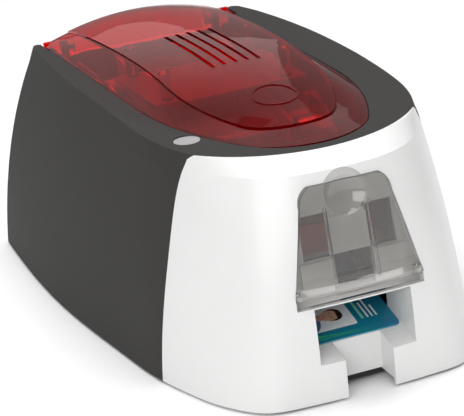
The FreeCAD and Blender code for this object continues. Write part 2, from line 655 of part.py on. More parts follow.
# Grey insert behind the door: window round a tongue, two sills and the finger bowl
def bezel():
    behind = val("bezelFront + bezelThick")
    front = val("bezelFront")
    foot = -val("pocketFloor")
    fit = val("bezelFit")
    half = val("caseHalf")
    tall = val("doorTall + doorGap")
    plate = doorPrism(val("doorGap - bezelFit"), foot + fit, behind)
    plate = plate.common(block(-half, half, front, behind, foot, half))
    sills = [block(*sorted((side * val("thumbHalf"), side * val("sillHalf"))),
                   front - val("sillRise"), front, val("sillFoot"), val("sillTop"))
             for side in (-1, 1)]
    tongue = block(-val("tongueHalf"), val("tongueHalf"), front - val("tongueRise"), front,
                   val("tongueFoot"), val("bowlHeight - bowlRadius"))
    bowl = bowlRod(0, behind)
    doorSpace = block(-half, half, -half, front, -half, tall)
    ball = bowlBall(val("bowlWall + doorGap")).common(block(-half, half, -half, half, 0, tall))
    bowl = bowl.cut([bowlBall(0), doorSpace, ball])
    windows = [block(*sorted((side * val("tongueHalf"), side * val("windowHalf"))), -half, half,
                     val("windowFoot"), val("windowTop")) for side in (-1, 1)]
    windows.append(block(-val("thumbHalf"), val("thumbHalf"), -half, half, -val("thumbFoot"),
                         val("tongueFoot")))
    shape = plate.fuse([bowl, tongue]).cut(windows + [ball]).fuse(sills)
    return tilted(shape, "door").common(outerCase)


shaped("feeder_bezel", bezel())


# Drawing helpers: every number below comes from the sheet by an expression
def place(item, x, y, z):
    for axis, text in zip("xyz", (x, y, z)):
        item.setExpression(".Placement.Base." + axis, bound(text))
    return item


def turnTo(item, frame):
    y, z, tilt = frames[frame]
    item.Placement = FreeCAD.Placement(Vector(0, 0, 0), FreeCAD.Rotation(Vector(1, 0, 0), val(tilt)))
    place(item, "0", y, z)
    item.setExpression(".Placement.Rotation.Angle", bound(tilt))
    return item


def rod(label, radius, x, long, spot):
    item = doc.addObject("Part::Cylinder", label)
    item.Placement = FreeCAD.Placement(Vector(0, 0, 0), FreeCAD.Rotation(Vector(0, 1, 0), 90))
    item.setExpression("Radius", bound(radius))
    item.setExpression("Height", bound(long))
    return place(item, x, spot[0], spot[1])


def pin(label, radius, x, y, z, long):
    item = doc.addObject("Part::Cylinder", label)
    item.setExpression("Radius", bound(radius))
    item.setExpression("Height", bound(long))
    return place(item, x, y, z)


def slab(label, x, y, z, leaning=False):
    item = doc.addObject("Part::Box", label)
    for side, (low, high) in zip(("Length", "Width", "Height"), (x, y, z)):
        item.setExpression(side, bound("(%s) - (%s)" % (high, low)))
    if not leaning:
        return place(item, x[0], y[0], z[0])
    turnTo(item, "track")
    return place(item, x[0], *spot(y[0], z[0]))


def fused(label, items, frame=None):
    item = doc.addObject("Part::MultiFuse", label)
    item.Shapes = items
    if frame:
        turnTo(item, frame)
    return item


def without(label, base, tools, frame=None):
    item = doc.addObject("Part::Cut", label)
    item.Base = base
    item.Tool = tools[0] if len(tools) == 1 else fused(label + "_cutters", tools)
    if frame:
        turnTo(item, frame)
    return item


def grouped(label, items):
    item = doc.addObject("Part::Compound", label)
    item.Links = items
    return item


# Plate: a bound outline drawn across one axis, padded, with round holes
def plate(label, role, corners, start, thick, holes=()):
    item = doc.addObject("PartDesign::Body", label)
    flat = [found for found in item.Origin.OriginFeatures if found.Role == role][0]
    outline = item.newObject("Sketcher::SketchObject", label + "_outline")
    outline.AttachmentSupport = [(flat, "")]
    outline.MapMode = "FlatFace"
    outline.setExpression(".AttachmentOffset.Base.z", bound(start))
    spots = [Vector(val(across), val(up), 0) for across, up in corners]
    for one, two in zip(spots, spots[1:] + spots[:1]):
        outline.addGeometry(Part.LineSegment(one, two), False)
    for index, (across, up) in enumerate(corners):
        follower = (index + 1) % len(corners)
        outline.addConstraint(Sketcher.Constraint("Coincident", index, 2, follower, 1))
        pinned(outline, index, 1, across, up)
    pad = item.newObject("PartDesign::Pad", label + "_pad")
    pad.Profile = outline
    pad.setExpression("Length", bound(thick))
    if holes:
        drill = item.newObject("Sketcher::SketchObject", label + "_holes")
        drill.AttachmentSupport = [(flat, "")]
        drill.MapMode = "FlatFace"
        for index, (across, up, radius) in enumerate(holes):
            centre = Vector(val(across), val(up), 0)
            drill.addGeometry(Part.Circle(centre, Vector(0, 0, 1), val(radius)), False)
            found = drill.addConstraint(Sketcher.Constraint("Radius", index, val(radius)))
            drill.setExpression("Constraints[%d]" % found, bound(radius))
            pinned(drill, index, 3, across, up)
        pocket = item.newObject("PartDesign::Pocket", label + "_drilled")
        pocket.Profile = drill
        pocket.Type = "ThroughAll"
        pocket.SideType = "Symmetric"
    return item


def pinned(sketch, index, end, across, up):
    for kind, text in (("DistanceX", across), ("DistanceY", up)):
        found = sketch.addConstraint(Sketcher.Constraint(kind, -1, 1, index, end, val(text)))
        if re.search("[A-Za-z]", text):
            sketch.setExpression("Constraints[%d]" % found, bound(text))


def oblong(x, y):
    return [(x[0], y[0]), (x[1], y[0]), (x[1], y[1]), (x[0], y[1])]


# A spot of the track frame, along the card path and above the card's underside
def spot(along, rise):
    return ("-trayY + (%s) * cos(trayTilt) - (%s) * sin(trayTilt)" % (along, rise),
            "trayZ + (%s) * sin(trayTilt) + (%s) * cos(trayTilt)" % (along, rise))


def reachOf(teethOne, teethTwo):
    return "(gearModule * %d / 2 + gearSlack)" % (teethOne + teethTwo)


# Teeth of the gears, and where every turning piece sits
fast = 24
small = 12
large = 40
takeup = 36
driveAlong = "platenPlace - 2 * " + reachOf(fast, small)
spots = {
    "pick": ("-entryY - 2 * " + reachOf(fast, large), "rollerZ"),
    "entry": ("-entryY", "rollerZ"),
    "entryPinch": ("-entryY", "rollerZ + entryNip"),
    "cleaning": ("-cleanY", "cleanZ"),
    "drive": spot(driveAlong, "-nipDeep"),
    "platen": spot("platenPlace", "-nipDeep"),
    "drivePinch": spot(driveAlong, "driveNip"),
    "idler": spot("platenPlace - " + reachOf(fast, small), "-nipDeep"),
    "reduction": spot("platenPlace", "-nipDeep - " + reachOf(fast, large)),
    "cardPinion": spot("platenPlace", "-nipDeep - " + reachOf(fast, large) + " - "
                       + reachOf(large, small)),
    "feedIdler": ("-entryY - " + reachOf(fast, large), "rollerZ"),
    "feedPinion": ("-entryY - " + reachOf(fast, large), "rollerZ - " + reachOf(large, small)),
    "takeup": spot("takeupPlace", "spoolRise"),
    "supply": spot("supplyPlace", "spoolRise"),
    "ribbonPinion": spot("takeupPlace - " + reachOf(takeup, small), "spoolRise"),
}
baseTop = "(footTall + baseThick)"
plateLow = "(footTall + baseThick + seatTall)"
plateTop = "(footTall + baseThick + seatTall + chassisThick)"


# Base: a flat tray inside the case wall, seats for the chassis and stands for the board
def baseTray():
    low = val("footTall")
    high = val(baseTop)
    reach = val("caseReach")
    floor = prism(caseWire(caseShares[0][1], low, val("caseWall + baseGap")), high - low)
    notch = val("notchHalf + notchWall + joinGap")
    floor = floor.cut(block(-notch, notch, -reach, val("notchWall + joinGap - notchPlace"),
                            0, reach))
    seats = [rodZ(val("seatRadius"), x, y, high - low / 2, val(plateLow))
             for x in (-val("seatX"), val("seatX"))
             for y in (-val("seatFrontY"), val("seatRearY"))]
    stands = [rodZ(val("standRadius"), x, y, high - low / 2, val(boardLow))
              for x, y in boardCorners()]
    bores = [rodZ(val("screwRadius"), x, y, 0, val(plateLow)) for x, y in baseHoles()]
    return floor.fuse(seats + stands).cut(bores)


boardLow = "(powerZ - powerHigh / 2 + socketFit - boardThick)"


def boardCorners():
    edge = val("boardEdge")
    return [(x, y) for x in (val("boardLeft") + edge, val("boardRight") - edge)
            for y in (val(boardFront) + edge, val(boardRear) - edge)]


def baseHoles():
    side = [(side * val(x), val(y)) for x, y in (("bracketFrontX", "-bracketY"),
                                                 ("bracketX", bracketRearY))
            for side in (-1, 1)]
    seats = [(x, y) for x in (-val("seatX"), val("seatX"))
             for y in (-val("seatFrontY"), val("seatRearY"))]
    return side + seats


shaped("base_tray", baseTray())
keep(grouped("rubber_feet", [
    pin("foot_%d" % number, "footRadius", x, y, "0", "footTall")
    for number, (x, y) in enumerate((("-footX", "-footY"), ("footX", "-footY"),
                                     ("-footRearX", footRearY), ("footRearX", footRearY)))]),
     "rubber_feet")


# Screws: four up through the base into the case, four down through the chassis plate
def screw(name, x, y, z, up):
    shank = pin(name + "_shank", "screwRadius", x, y, z if up else z + " - screwLong + seatTall / 2",
                "screwLong" if up else "screwLong - seatTall / 2")
    head = pin(name + "_head", "screwHead", x, y, z + (" - screwCap" if up else ""), "screwCap")
    return fused(name, [shank, head])


screws = []
for side in ("-", ""):
    for x, y in (("bracketFrontX", "-bracketY"), ("bracketX", bracketRearY)):
        screws.append(screw("case_screw_%d" % len(screws), side + x, y, "footTall", True))
for side in ("-", ""):
    for y in ("-seatFrontY", "seatRearY"):
        screws.append(screw("plate_screw_%d" % len(screws), side + "seatX", y, plateTop, False))
keep(grouped("mounting_screws", screws), "mounting_screws")

outer = "(chassisHalf + chassisThick)"
keep(plate("chassis_base", "XY_Plane", oblong(("-" + outer, outer), ("-chassisFloor", "chassisRear")),
           plateLow, "chassisThick",
           [(side + "seatX", y, "screwRadius") for side in ("-", "")
            for y in ("-seatFrontY", "seatRearY")]), "chassis_base")


# Side plates: stepped outline with two open slots for the ribbon cassette
def slotted(name):
    y, z = spots[name]
    wide = "(bossRadius + bossSlot)"
    return [("%s + %s" % (y, wide), z + " - bossRadius"), ("%s - %s" % (y, wide), z + " - bossRadius")]


def sidePlate(label, start, holes):
    near = slotted("supply")
    far = slotted("takeup")
    corners = [("-chassisFloor", plateTop), ("chassisRear", plateTop), ("chassisRear", "chassisTop"),
               (near[0][0], "chassisTop"), near[0], near[1], (near[1][0], "chassisTop"),
               ("chassisStep", "chassisTop"), ("chassisFall", "chassisMid"),
               (far[0][0], "chassisMid"), far[0], far[1], (far[1][0], "chassisMid"),
               ("-chassisNeck", "chassisMid"), ("-chassisFall", "chassisBrow"),
               ("-chassisFront", "chassisBrow"), ("-chassisFront", "chassisLow")]
    return keep(plate(label, "YZ_Plane", corners, start, "chassisThick", holes), label)


bushed = ("pick", "entry", "drive", "platen")
idle = ("entryPinch", "drivePinch", "cleaning")
bores = [spots[name] + ("bushRadius",) for name in bushed]
bores += [spots[name] + ("pinchEnd + runFit",) for name in idle]
shaftHoles = [spots[name] + ("motorHole",) for name in ("cardPinion", "feedPinion")]
sidePlate("chassis_left", "-" + outer, bores + shaftHoles)
sidePlate("chassis_right", "chassisHalf", bores + [spots["ribbonPinion"] + ("motorHole",)])

bushes = []
for name in bushed:
    for x in ("-(chassisHalf + chassisThick + bushOver)", "chassisHalf - bushOver"):
        long = "chassisThick + 2 * bushOver"
        body = rod("bush_%d_body" % len(bushes), "bushRadius", x, long, spots[name])
        bore = rod("bush_%d_bore" % len(bushes), "shaftRadius + runFit", x, long, spots[name])
        bushes.append(without("bush_%d" % len(bushes), body, [bore]))
keep(grouped("shaft_bushes", bushes), "shaft_bushes")


# Powered rollers: a steel shaft in its bushes and a rubber sleeve
def roller(name, radius, half):
    shaft = rod(name + "_shaft", "shaftRadius", "-(chassisHalf + shaftOver)",
                "2 * chassisHalf + shaftOver + chassisThick + bushOver", spots[name])
    keep(shaft, name + "_shaft")
    body = rod(name + "_body", radius, "-" + half, "2 * " + half, spots[name])
    bore = rod(name + "_bore", "shaftRadius", "-" + half, "2 * " + half, spots[name])
    keep(without(name + "_roller", body, [bore]), name + "_roller")


roller("pick", "pickRadius", "pickHalf")
roller("entry", "entryRadius", "rollerHalf")
roller("drive", "driveRadius", "rollerHalf")
roller("platen", "driveRadius", "platenHalf")
for name, label, radius in (("entryPinch", "entry_pinch", "pinchRadius"),
                            ("drivePinch", "drive_pinch", "pinchRadius"),
                            ("cleaning", "cleaning_roller", "cleanRadius")):
    reach = "(chassisHalf + chassisThick + bushOver)"
    keep(fused(label, [rod(label + "_body", radius, "-rollerHalf", "2 * rollerHalf", spots[name]),
                       rod(label + "_ends", "pinchEnd", "-" + reach, "2 * " + reach,
                           spots[name])]), label)


# Straight-sided gear teeth: shares of the pitch at root, tip and of the module
toothShares = (0.30, 0.12, 1.05, 0.72)


def toothWire(teeth, phase):
    root, tip, low, high = toothShares
    radius = val("gearModule") * teeth / 2
    pitch = 2 * math.pi / teeth
    corners = []
    for tooth in range(teeth):
        middle = math.radians(phase) + tooth * pitch
        for share, away in ((-root, -low), (-tip, high), (tip, high), (root, -low)):
            angle = middle + share * pitch
            far = radius + away * val("gearModule")
            corners.append(Vector(0, far * math.cos(angle), far * math.sin(angle)))
    return Part.makePolygon(corners + corners[:1])


def middleOf(name):
    return Vector(0, val(spots[name][0]), val(spots[name][1]))


# Phase of a driven gear, so that its gap meets the driver's tooth
def meshed(name, teeth, phase, other, otherTeeth):
    way = middleOf(other) - middleOf(name)
    angle = math.degrees(math.atan2(way.z, way.y))
    found = ((angle - phase) * teeth / 360) % 1
    return angle + 180 - ((0.5 - found) % 1) * 360 / otherTeeth


def gear(label, name, teeth, phase, x, wide, bore, tail=None):
    outline = doc.addObject("Part::Feature", label + "_outline")
    outline.Shape = toothWire(teeth, phase)
    blank = doc.addObject("Part::Extrusion", label + "_blank")
    blank.Base = outline
    blank.DirMode = "Custom"
    blank.Dir = Vector(1, 0, 0)
    blank.Solid = True
    blank.setExpression("LengthFwd", bound(wide))
    if tail:
        item = fused(label, [blank, rod(label + "_tail", bore, tail[0], tail[1], ("0", "0"))])
    else:
        item = without(label, blank, [rod(label + "_bore", bore, "0", wide, ("0", "0"))])
    return keep(place(item, x, spots[name][0], spots[name][1]), label)


gearX = "-(chassisHalf + chassisThick + gearGap + gearWide)"
tail = ("gearWide", "gearGap + chassisThick - joinGap")
idlerPhase = meshed("platen", fast, 0, "idler", small)
reductionPhase = meshed("platen", fast, 0, "reduction", large)
feedPhase = meshed("entry", fast, 0, "feedIdler", large)
for label, name, teeth, phase, bore, stub in (
        ("platen_gear", "platen", fast, 0, "shaftRadius", None),
        ("track_idler", "idler", small, idlerPhase, "studRadius + runFit", None),
        ("drive_gear", "drive", fast, meshed("idler", small, idlerPhase, "drive", fast),
         "shaftRadius", None),
        ("reduction_gear", "reduction", large, reductionPhase, "studRadius + runFit", None),
        ("card_pinion", "cardPinion", small,
         meshed("reduction", large, reductionPhase, "cardPinion", small), "motorShaft", tail),
        ("entry_gear", "entry", fast, 0, "shaftRadius", None),
        ("feed_idler", "feedIdler", large, feedPhase, "studRadius + runFit", None),
        ("pick_gear", "pick", fast, meshed("feedIdler", large, feedPhase, "pick", fast),
         "shaftRadius", None),
        ("feed_pinion", "feedPinion", small,
         meshed("feedIdler", large, feedPhase, "feedPinion", small), "motorShaft", tail)):
    gear(label, name, teeth, phase, gearX, "gearWide", bore, stub)
gear("takeup_gear", "takeup", takeup, 0, "ribbonGearX", "ribbonGearWide", "shaftRadius")
gear("ribbon_pinion", "ribbonPinion", small, meshed("takeup", takeup, 0, "ribbonPinion", small),
     "ribbonGearX", "ribbonGearWide", "motorShaft",
     ("-(ribbonGearX - chassisHalf - joinGap)", "ribbonGearX - chassisHalf - joinGap"))

studs = []
for name in ("idler", "reduction", "feedIdler"):
    label = "stud_%d" % len(studs)
    start = "-(chassisHalf + chassisThick + gearGap + gearWide + joinGap + studCapThick)"
    stem = rod(label + "_stem", "studRadius", start,
               "gearGap + gearWide + joinGap + studCapThick", spots[name])
    studs.append(fused(label, [stem, rod(label + "_cap", "studCap", start, "studCapThick",
                                         spots[name])]))
keep(grouped("gear_studs", studs), "gear_studs")
keep(rod("card_motor", "motorRadius", "-chassisHalf", "cardMotorLong", spots["cardPinion"]),
     "card_motor")
keep(rod("feed_motor", "motorRadius", "-chassisHalf", "feedMotorLong", spots["feedPinion"]),
     "feed_motor")
keep(rod("ribbon_motor", "ribbonMotor", "chassisHalf - ribbonMotorLong", "ribbonMotorLong",
         spots["ribbonPinion"]), "ribbon_motor")


# Card path: flat entry guide and sloping track in one moulding, with rails and wings
def slotFor(label, name, half, low, high):
    y, z = spots[name]
    radius = {"entry": "entryRadius", "pick": "pickRadius"}.get(name, "driveRadius")
    return slab(label, ("-(%s)" % half, half), ("%s - %s" % (y, radius), "%s + %s" % (y, radius)),
                (low, high))


guideLow = "guideTop - trackThick"
flat = slab("guide_floor", ("-trackHalf", "trackHalf"), ("-guideFront", "guideRear"),
            (guideLow, "guideTop"))
flatWing = slab("guide_wing", ("-chassisHalf", "chassisHalf"), ("-entryWing", "-entryWingEnd"),
                (guideLow, "guideTop"))
flatRails = [slab("guide_rail_%d" % number, x, ("-guideFront", "-cleanY"),
                  ("guideTop", "guideTop + railTall"))
             for number, x in enumerate((("-trackHalf", "-trackHalf + trackRail"),
                                         ("trackHalf - trackRail", "trackHalf")))]
low = "-cardLift - trackThick"
slope = [slab("slope_floor", ("-trackHalf", "trackHalf"), ("trackStart", "trackEnd"),
              (low, "-cardLift"))]
slope += [slab("slope_wing_%d" % number, ("-chassisHalf", "chassisHalf"), (one, two),
               (low, "-cardLift"))
          for number, (one, two) in enumerate((("wingOne", "wingOneEnd"), ("wingTwo", "wingTwoEnd")))]
slope += [slab("slope_rail_%d" % number, x, ("trackStart", "trackEnd"), (low, "railTall"))
          for number, x in enumerate((("-trackHalf", "-trackHalf + trackRail"),
                                      ("trackHalf - trackRail", "trackHalf")))]
slopeSlots = []
for name, along, half in (("drive", driveAlong, "rollerHalf + slotPlay"),
                          ("platen", "platenPlace", "trackHalf - trackRail")):
    slopeSlots.append(slab(name + "_slot", ("-(%s)" % half, half),
                           (along + " - driveRadius", along + " + driveRadius"),
                           ("-nipDeep", "0")))
reliefEnd = "(guidePlace + guideRadius + slotPlay)"
slopeSlots.append(slab("rail_relief", ("-trackHalf", "trackHalf"),
                       ("platenPlace - " + reliefEnd, "platenPlace + " + reliefEnd),
                       ("cardThick", "railTall + joinGap")))
sloping = without("sloping_track", fused("sloping_body", slope), slopeSlots, "track")
flatSlot = slotFor("entry_slot", "entry", "rollerHalf + slotPlay", "rollerZ", "guideTop")
level = without("level_guide", fused("level_body", [flat, flatWing] + flatRails), [flatSlot])
keep(fused("card_track", [level, sloping]), "card_track")

# Magazine for the blank cards
sides = [slab("magazine_side_%d" % number, x, ("-magazineFront", "-magazineRear"),
              (guideLow, "magazineTop"))
         for number, x in enumerate((("-trackHalf", "-trackHalf + trackRail"),
                                     ("trackHalf - trackRail", "trackHalf")))]
floor = slab("magazine_floor", ("-trackHalf", "trackHalf"), ("-magazineFront", "-magazineRear"),
             (guideLow, "guideTop"))
gate = slab("magazine_gate", ("-trackHalf", "trackHalf"),
            ("-magazineRear - gateThick", "-magazineRear"), ("guideTop + gateGap", "magazineTop"))
wing = slab("magazine_wing", ("-chassisHalf", "chassisHalf"),
            ("-magazineWing", "-magazineWingEnd"), (guideLow, "guideTop"))
window = slotFor("pick_slot", "pick", "pickHalf + slotPlay", "rollerZ", "guideTop")
keep(without("card_magazine", fused("magazine_body", sides + [floor, gate, wing]), [window]),
     "card_magazine")

# Rear part of the tray that holds the printed card
tray = slab("tray_slope", ("-trackHalf", "trackHalf"), ("-caseReach", "trayY"),
            (low, "-cardLift"), True)
over = slab("tray_over", ("-caseReach", "caseReach"), ("-caseReach", "caseReach"),
            ("trayRail", "caseReach"), True)
span = slab("tray_span", ("-trackHalf", "trackHalf"), ("-trayFront", "-trayRear"),
            (baseTop, "bayTop"))
core = slab("tray_core", ("-trackHalf + trackRail", "trackHalf - trackRail"),
            ("-trayFront", "-trayRear"), (baseTop, "bayTop"))
hollow = without("tray_walls", span, [core, over])
bed = doc.addObject("Part::MultiCommon", "tray_bed")
bed.Shapes = [tray, span]
keep(fused("output_tray", [hollow, bed]), "output_tray")

# Printed card in the tray
blank = slab("card_blank", ("-cardWide / 2", "cardWide / 2"), ("-cardLong - joinGap * 2", "-joinGap * 2"),
             ("0", "cardThick"), True)
rounded = doc.addObject("Part::Fillet", "card_rounded")
rounded.Base = blank
rounded.Edges = [(edge, val("cardCorner"), val("cardCorner")) for edge in (1, 3, 5, 7)]
keep(rounded, "printed_card")


# Ribbon spools with their wound ribbon
def spool(name, wrap, ahead):
    body = rod(name + "_core", "spoolCore", "-coreHalf", "2 * coreHalf", spots[name])
    shaft = rod(name + "_axle", "shaftRadius", "-(chassisHalf + bushOver)",
                "chassisHalf + bushOver + " + ahead, spots[name])
    keep(fused(name + "_spool", [body, shaft]), name + "_spool")
    full = rod(name + "_full", wrap, "-wrapHalf", "2 * wrapHalf", spots[name])
    bore = rod(name + "_hole", "spoolCore", "-wrapHalf", "2 * wrapHalf", spots[name])
    keep(without(name + "_wrap", full, [bore]), name + "_wrap")


spool("takeup", "takeupWrap", "ribbonGearX + ribbonGearWide + bushOver")
spool("supply", "supplyWrap", "chassisHalf + bushOver")


# Film between the rolls: flat above the card path, then up to each roll
def film():
    thick = val("filmThick")
    level = val("filmRise")
    runs = []
    for name, side in (("takeup", -1), ("supply", 1)):
        away = val("guidePlace + guideRadius + filmGap")
        corner = Vector(0, val("platenPlace") + side * away, level)
        centre = Vector(0, val(name + "Place"), val("spoolRise"))
        radius = val(name + "Wrap + filmGap")
        way = centre - corner
        lean = math.atan2(way.z, way.y * side)
        rise = lean + math.asin((radius + thick) / way.Length)
        long = math.sqrt(way.Length ** 2 - (radius + thick) ** 2)
        runs.append((corner, Vector(0, side * math.cos(rise), math.sin(rise)), long))
    (left, leftWay, leftLong), (right, rightWay, rightLong) = runs
    upLeft = Vector(0, leftWay.z, -leftWay.y)
    upRight = Vector(0, -rightWay.z, rightWay.y)
    inner = level + thick
    slide = thick * math.tan(math.acos(-leftWay.y) / 2)
    slideRight = thick * math.tan(math.acos(rightWay.y) / 2)
    corners = [left, right, right + rightWay * rightLong,
               right + rightWay * rightLong + upRight * thick,
               Vector(0, right.y - slideRight, inner), Vector(0, left.y + slide, inner),
               left + leftWay * leftLong + upLeft * thick, left + leftWay * leftLong]
    half = val("wrapHalf")
    face = Part.Face(Part.makePolygon(corners + corners[:1]))
    return tilted(face.extrude(Vector(2 * half, 0, 0)).translated(Vector(-half, 0, 0)), "track")


shaped("ribbon_film", film())


# Cassette: two cheeks, four bars and the hollow bosses that the spools turn in
cheekCorners = [("cheekFront", "cheekFoot"), ("lobeFront", "cheekFoot"),
                ("platenPlace - guidePlace - barRadius", "lobeFoot"),
                ("platenPlace + guidePlace + barRadius", "lobeFoot"),
                ("lobeRear", "cheekFoot"), ("cheekRear", "cheekFoot"),
                ("cheekRear", "cheekTop"), ("cheekFront", "cheekTop")]
pieces = [plate("cheek_" + name, "YZ_Plane", cheekCorners, start, "cheekThick")
          for name, start in (("left", "-(cheekIn + cheekThick)"), ("right", "cheekIn"))]
for number, (along, rise, radius) in enumerate((
        ("barFront", "barRise", "barRadius"), ("barRear", "barRise", "barRadius"),
        ("platenPlace - guidePlace", "guideRise", "guideRadius"),
        ("platenPlace + guidePlace", "guideRise", "guideRadius"))):
    pieces.append(rod("bar_%d" % number, radius, "-cheekIn", "2 * cheekIn", (along, rise)))
drills = []
for name in ("takeup", "supply"):
    for side, x in (("left", "-" + outer), ("right", "cheekIn")):
        label = "boss_%s_%s" % (name, side)
        along = (name + "Place", "spoolRise")
        pieces.append(rod(label, "bossRadius", x, outer + " - cheekIn", along))
        drills.append(rod(label + "_bore", "shaftRadius + runFit", x, outer + " - cheekIn", along))
keep(without("cassette_frame", fused("cassette_body", pieces), drills, "track"), "cassette_frame")

# Print head under the lid: carrier plate, finned heat sink and the head itself
keep(plate("head_carrier", "XY_Plane", oblong(("-carrierHalf", "carrierHalf"),
                                              ("-carrierFront", "carrierRear")),
           "carrierTop - carrierThick", "carrierThick"), "head_carrier")
under = "carrierTop - carrierThick"
foot = slab("sink_foot", ("-headHalf", "headHalf"), ("headStart", "headEnd"),
            ("headRise + headThick", "headRise + headThick + sinkThick"), True)
web = slab("sink_web", ("-sinkHalf", "sinkHalf"), ("webFront", "webRear"), ("webFoot", under))
fins = [slab("sink_fin_%d" % number, ("finPitch * %d - finThick / 2" % number,
                                      "finPitch * %d + finThick / 2" % number),
             ("finFront", "finRear"), ("finFoot", under)) for number in (-2, -1, 0, 1, 2)]
keep(fused("head_heatsink", [foot, web] + fins), "head_heatsink")
head = slab("print_head", ("-headHalf", "headHalf"), ("headStart", "headEnd"),
            ("headRise", "headRise + headThick"), True)
keep(head, "print_head")

# Pins of the lid and of the front door
keep(grouped("lid_hinge_pins", [
    rod("lid_pin_left", "hingePin", "-(lugIn + 2 * lugThick + earGap)", "2 * lugThick + earGap",
        (hingeY, "hingeZ")),
    rod("lid_pin_right", "hingePin", "lugIn", "2 * lugThick + earGap",
        (hingeY, "hingeZ"))]), "lid_hinge_pins")
doorPinLong = "(doorGap + pocketWall + lugWide)"
keep(grouped("door_hinge_pins", [
    rod("door_pin_left", "doorPin", "-(doorFootHalf + doorGap + pocketWall)", doorPinLong,
        ("-doorY", "doorZ")),
    rod("door_pin_right", "doorPin", "doorFootHalf - lugWide", doorPinLong,
        ("-doorY", "doorZ"))]), "door_hinge_pins")

# Button, its switch, and the two lamps
keep(fused("control_button", [
    pin("button_stem", "buttonRadius", "-buttonX", "-buttonY", "buttonTop - buttonTall", "buttonTall"),
    pin("button_flange", "buttonRadius + flangeWide", "-buttonX", "-buttonY",
        "buttonTop - buttonTall", "flangeThick")]), "control_button")
card = slab("switch_card", ("-buttonX - postRadius * 3", "-buttonX + postRadius * 3"),
            ("-buttonY - switchHalf", "-buttonY + switchHalf"), ("switchTop - switchThick", "switchTop"))
case = slab("switch_case", ("-buttonX - switchWide / 2", "-buttonX + switchWide / 2"),
            ("-buttonY - switchWide / 2", "-buttonY + switchWide / 2"),
            ("switchTop", "buttonTop - buttonTall - pressGap"))
keep(fused("switch_board", [card, case]), "switch_board")


def lenses():
    above = dish(0)
    rods = [rodZ(val("lampRadius"), -val("lampX"), -val(spot), val("seatFoot"),
                 val("caseCeiling")).cut(above) for spot in ("lampFront", "lampRear")]
    return Part.makeCompound(rods)


shaped("indicator_lenses", lenses())

# Board at the back and the two sockets that stand on it
boardTop = "powerZ - powerHigh / 2 + socketFit"
keep(slab("main_board", ("boardLeft", "boardRight"), (boardFront, boardRear),
          (boardTop + " - boardThick", boardTop)), "main_board")


def socket(label, name, core):
    half = "(%sWide / 2 - socketFit)" % name
    tall = "(%sHigh / 2 - socketFit)" % name
    x = name + "X"
    z = name + "Z"
    block = slab(label + "_block", (x + " - " + half, x + " + " + half),
                 (socketRear + " - socketDeep", socketRear), (z + " - " + tall, z + " + " + tall))
    room = slab(label + "_room", (x + " - " + half + " + socketWall",
                                  x + " + " + half + " - socketWall"),
                (socketRear + " - socketHollow", socketRear),
                (z + " - " + tall + " + socketWall", z + " + " + tall + " - socketWall"))
    return keep(fused(label, [without(label + "_shell", block, [room]), core]), label)


prong = doc.addObject("Part::Cylinder", "power_prong")
prong.Placement = FreeCAD.Placement(Vector(0, 0, 0), FreeCAD.Rotation(Vector(1, 0, 0), -90))
prong.setExpression("Radius", bound("pinRadius"))
prong.setExpression("Height", bound("socketHollow"))
place(prong, "powerX", socketRear + " - socketHollow - pinRadius", "powerZ")
socket("power_socket", "power", prong)
tongue = slab("usb_tongue", ("usbX - usbWide / 4", "usbX + usbWide / 4"),
              (socketRear + " - socketHollow - pinRadius", socketRear + " - pinRadius"),
              ("usbZ - tongueThick / 2", "usbZ + tongueThick / 2"))
socket("usb_socket", "usb", tongue)

doc.recompute()


for item in doc.Objects:
    if "Invalid" in item.State or "Error" in item.State:
        raise RuntimeError("%s did not build" % item.Label)
os.makedirs("parts", exist_ok=True)
for item in subParts:
    if item.Shape.isNull() or not item.Shape.isValid() or not item.Shape.Solids:
        raise RuntimeError("%s has no valid solid" % item.Label)
for item in subParts:
    item.Shape.exportStep(os.path.join("parts", item.Label + ".step"))
    print(item.Label, len(item.Shape.Solids), round(item.Shape.Volume))
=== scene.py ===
# Desktop card printer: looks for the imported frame.
import bmesh
import bpy
import json
import math
from mathutils import Matrix, Vector


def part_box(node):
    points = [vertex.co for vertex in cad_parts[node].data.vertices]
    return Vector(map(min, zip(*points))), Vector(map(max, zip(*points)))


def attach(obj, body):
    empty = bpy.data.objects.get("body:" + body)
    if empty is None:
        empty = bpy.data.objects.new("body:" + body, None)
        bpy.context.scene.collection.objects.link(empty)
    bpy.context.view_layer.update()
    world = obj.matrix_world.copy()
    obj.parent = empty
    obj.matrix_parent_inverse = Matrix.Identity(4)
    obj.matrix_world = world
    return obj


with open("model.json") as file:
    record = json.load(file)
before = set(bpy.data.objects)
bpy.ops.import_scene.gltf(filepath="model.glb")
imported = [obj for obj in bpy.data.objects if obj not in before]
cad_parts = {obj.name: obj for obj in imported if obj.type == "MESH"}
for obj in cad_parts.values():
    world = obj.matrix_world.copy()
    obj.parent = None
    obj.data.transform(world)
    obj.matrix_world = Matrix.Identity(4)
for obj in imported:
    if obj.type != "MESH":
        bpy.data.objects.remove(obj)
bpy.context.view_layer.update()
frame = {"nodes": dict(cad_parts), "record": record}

camera = {"place": (-0.399088, -1.127159, 0.475688), "lens": 163.0186, "sensor": 36.0,
          "right": (0.92591148, -0.3627364, -0.10540513),
          "up": (0.21447346, 0.27513088, 0.93717882),
          "back": (-0.31094866, -0.89035123, 0.33254417)}


def added(name, data):
    item = bpy.data.objects.new(name, data)
    bpy.context.scene.collection.objects.link(item)
    return item


def placeCamera():
    data = bpy.data.cameras.new("camera")
    data.lens = camera["lens"]
    data.sensor_width = camera["sensor"]
    item = added("camera", data)
    turn = Matrix((camera["right"], camera["up"], camera["back"])).transposed()
    item.matrix_world = Matrix.Translation(camera["place"]) @ turn.to_4x4()
    bpy.context.scene.camera = item
    print("camera placed")


placeCamera()


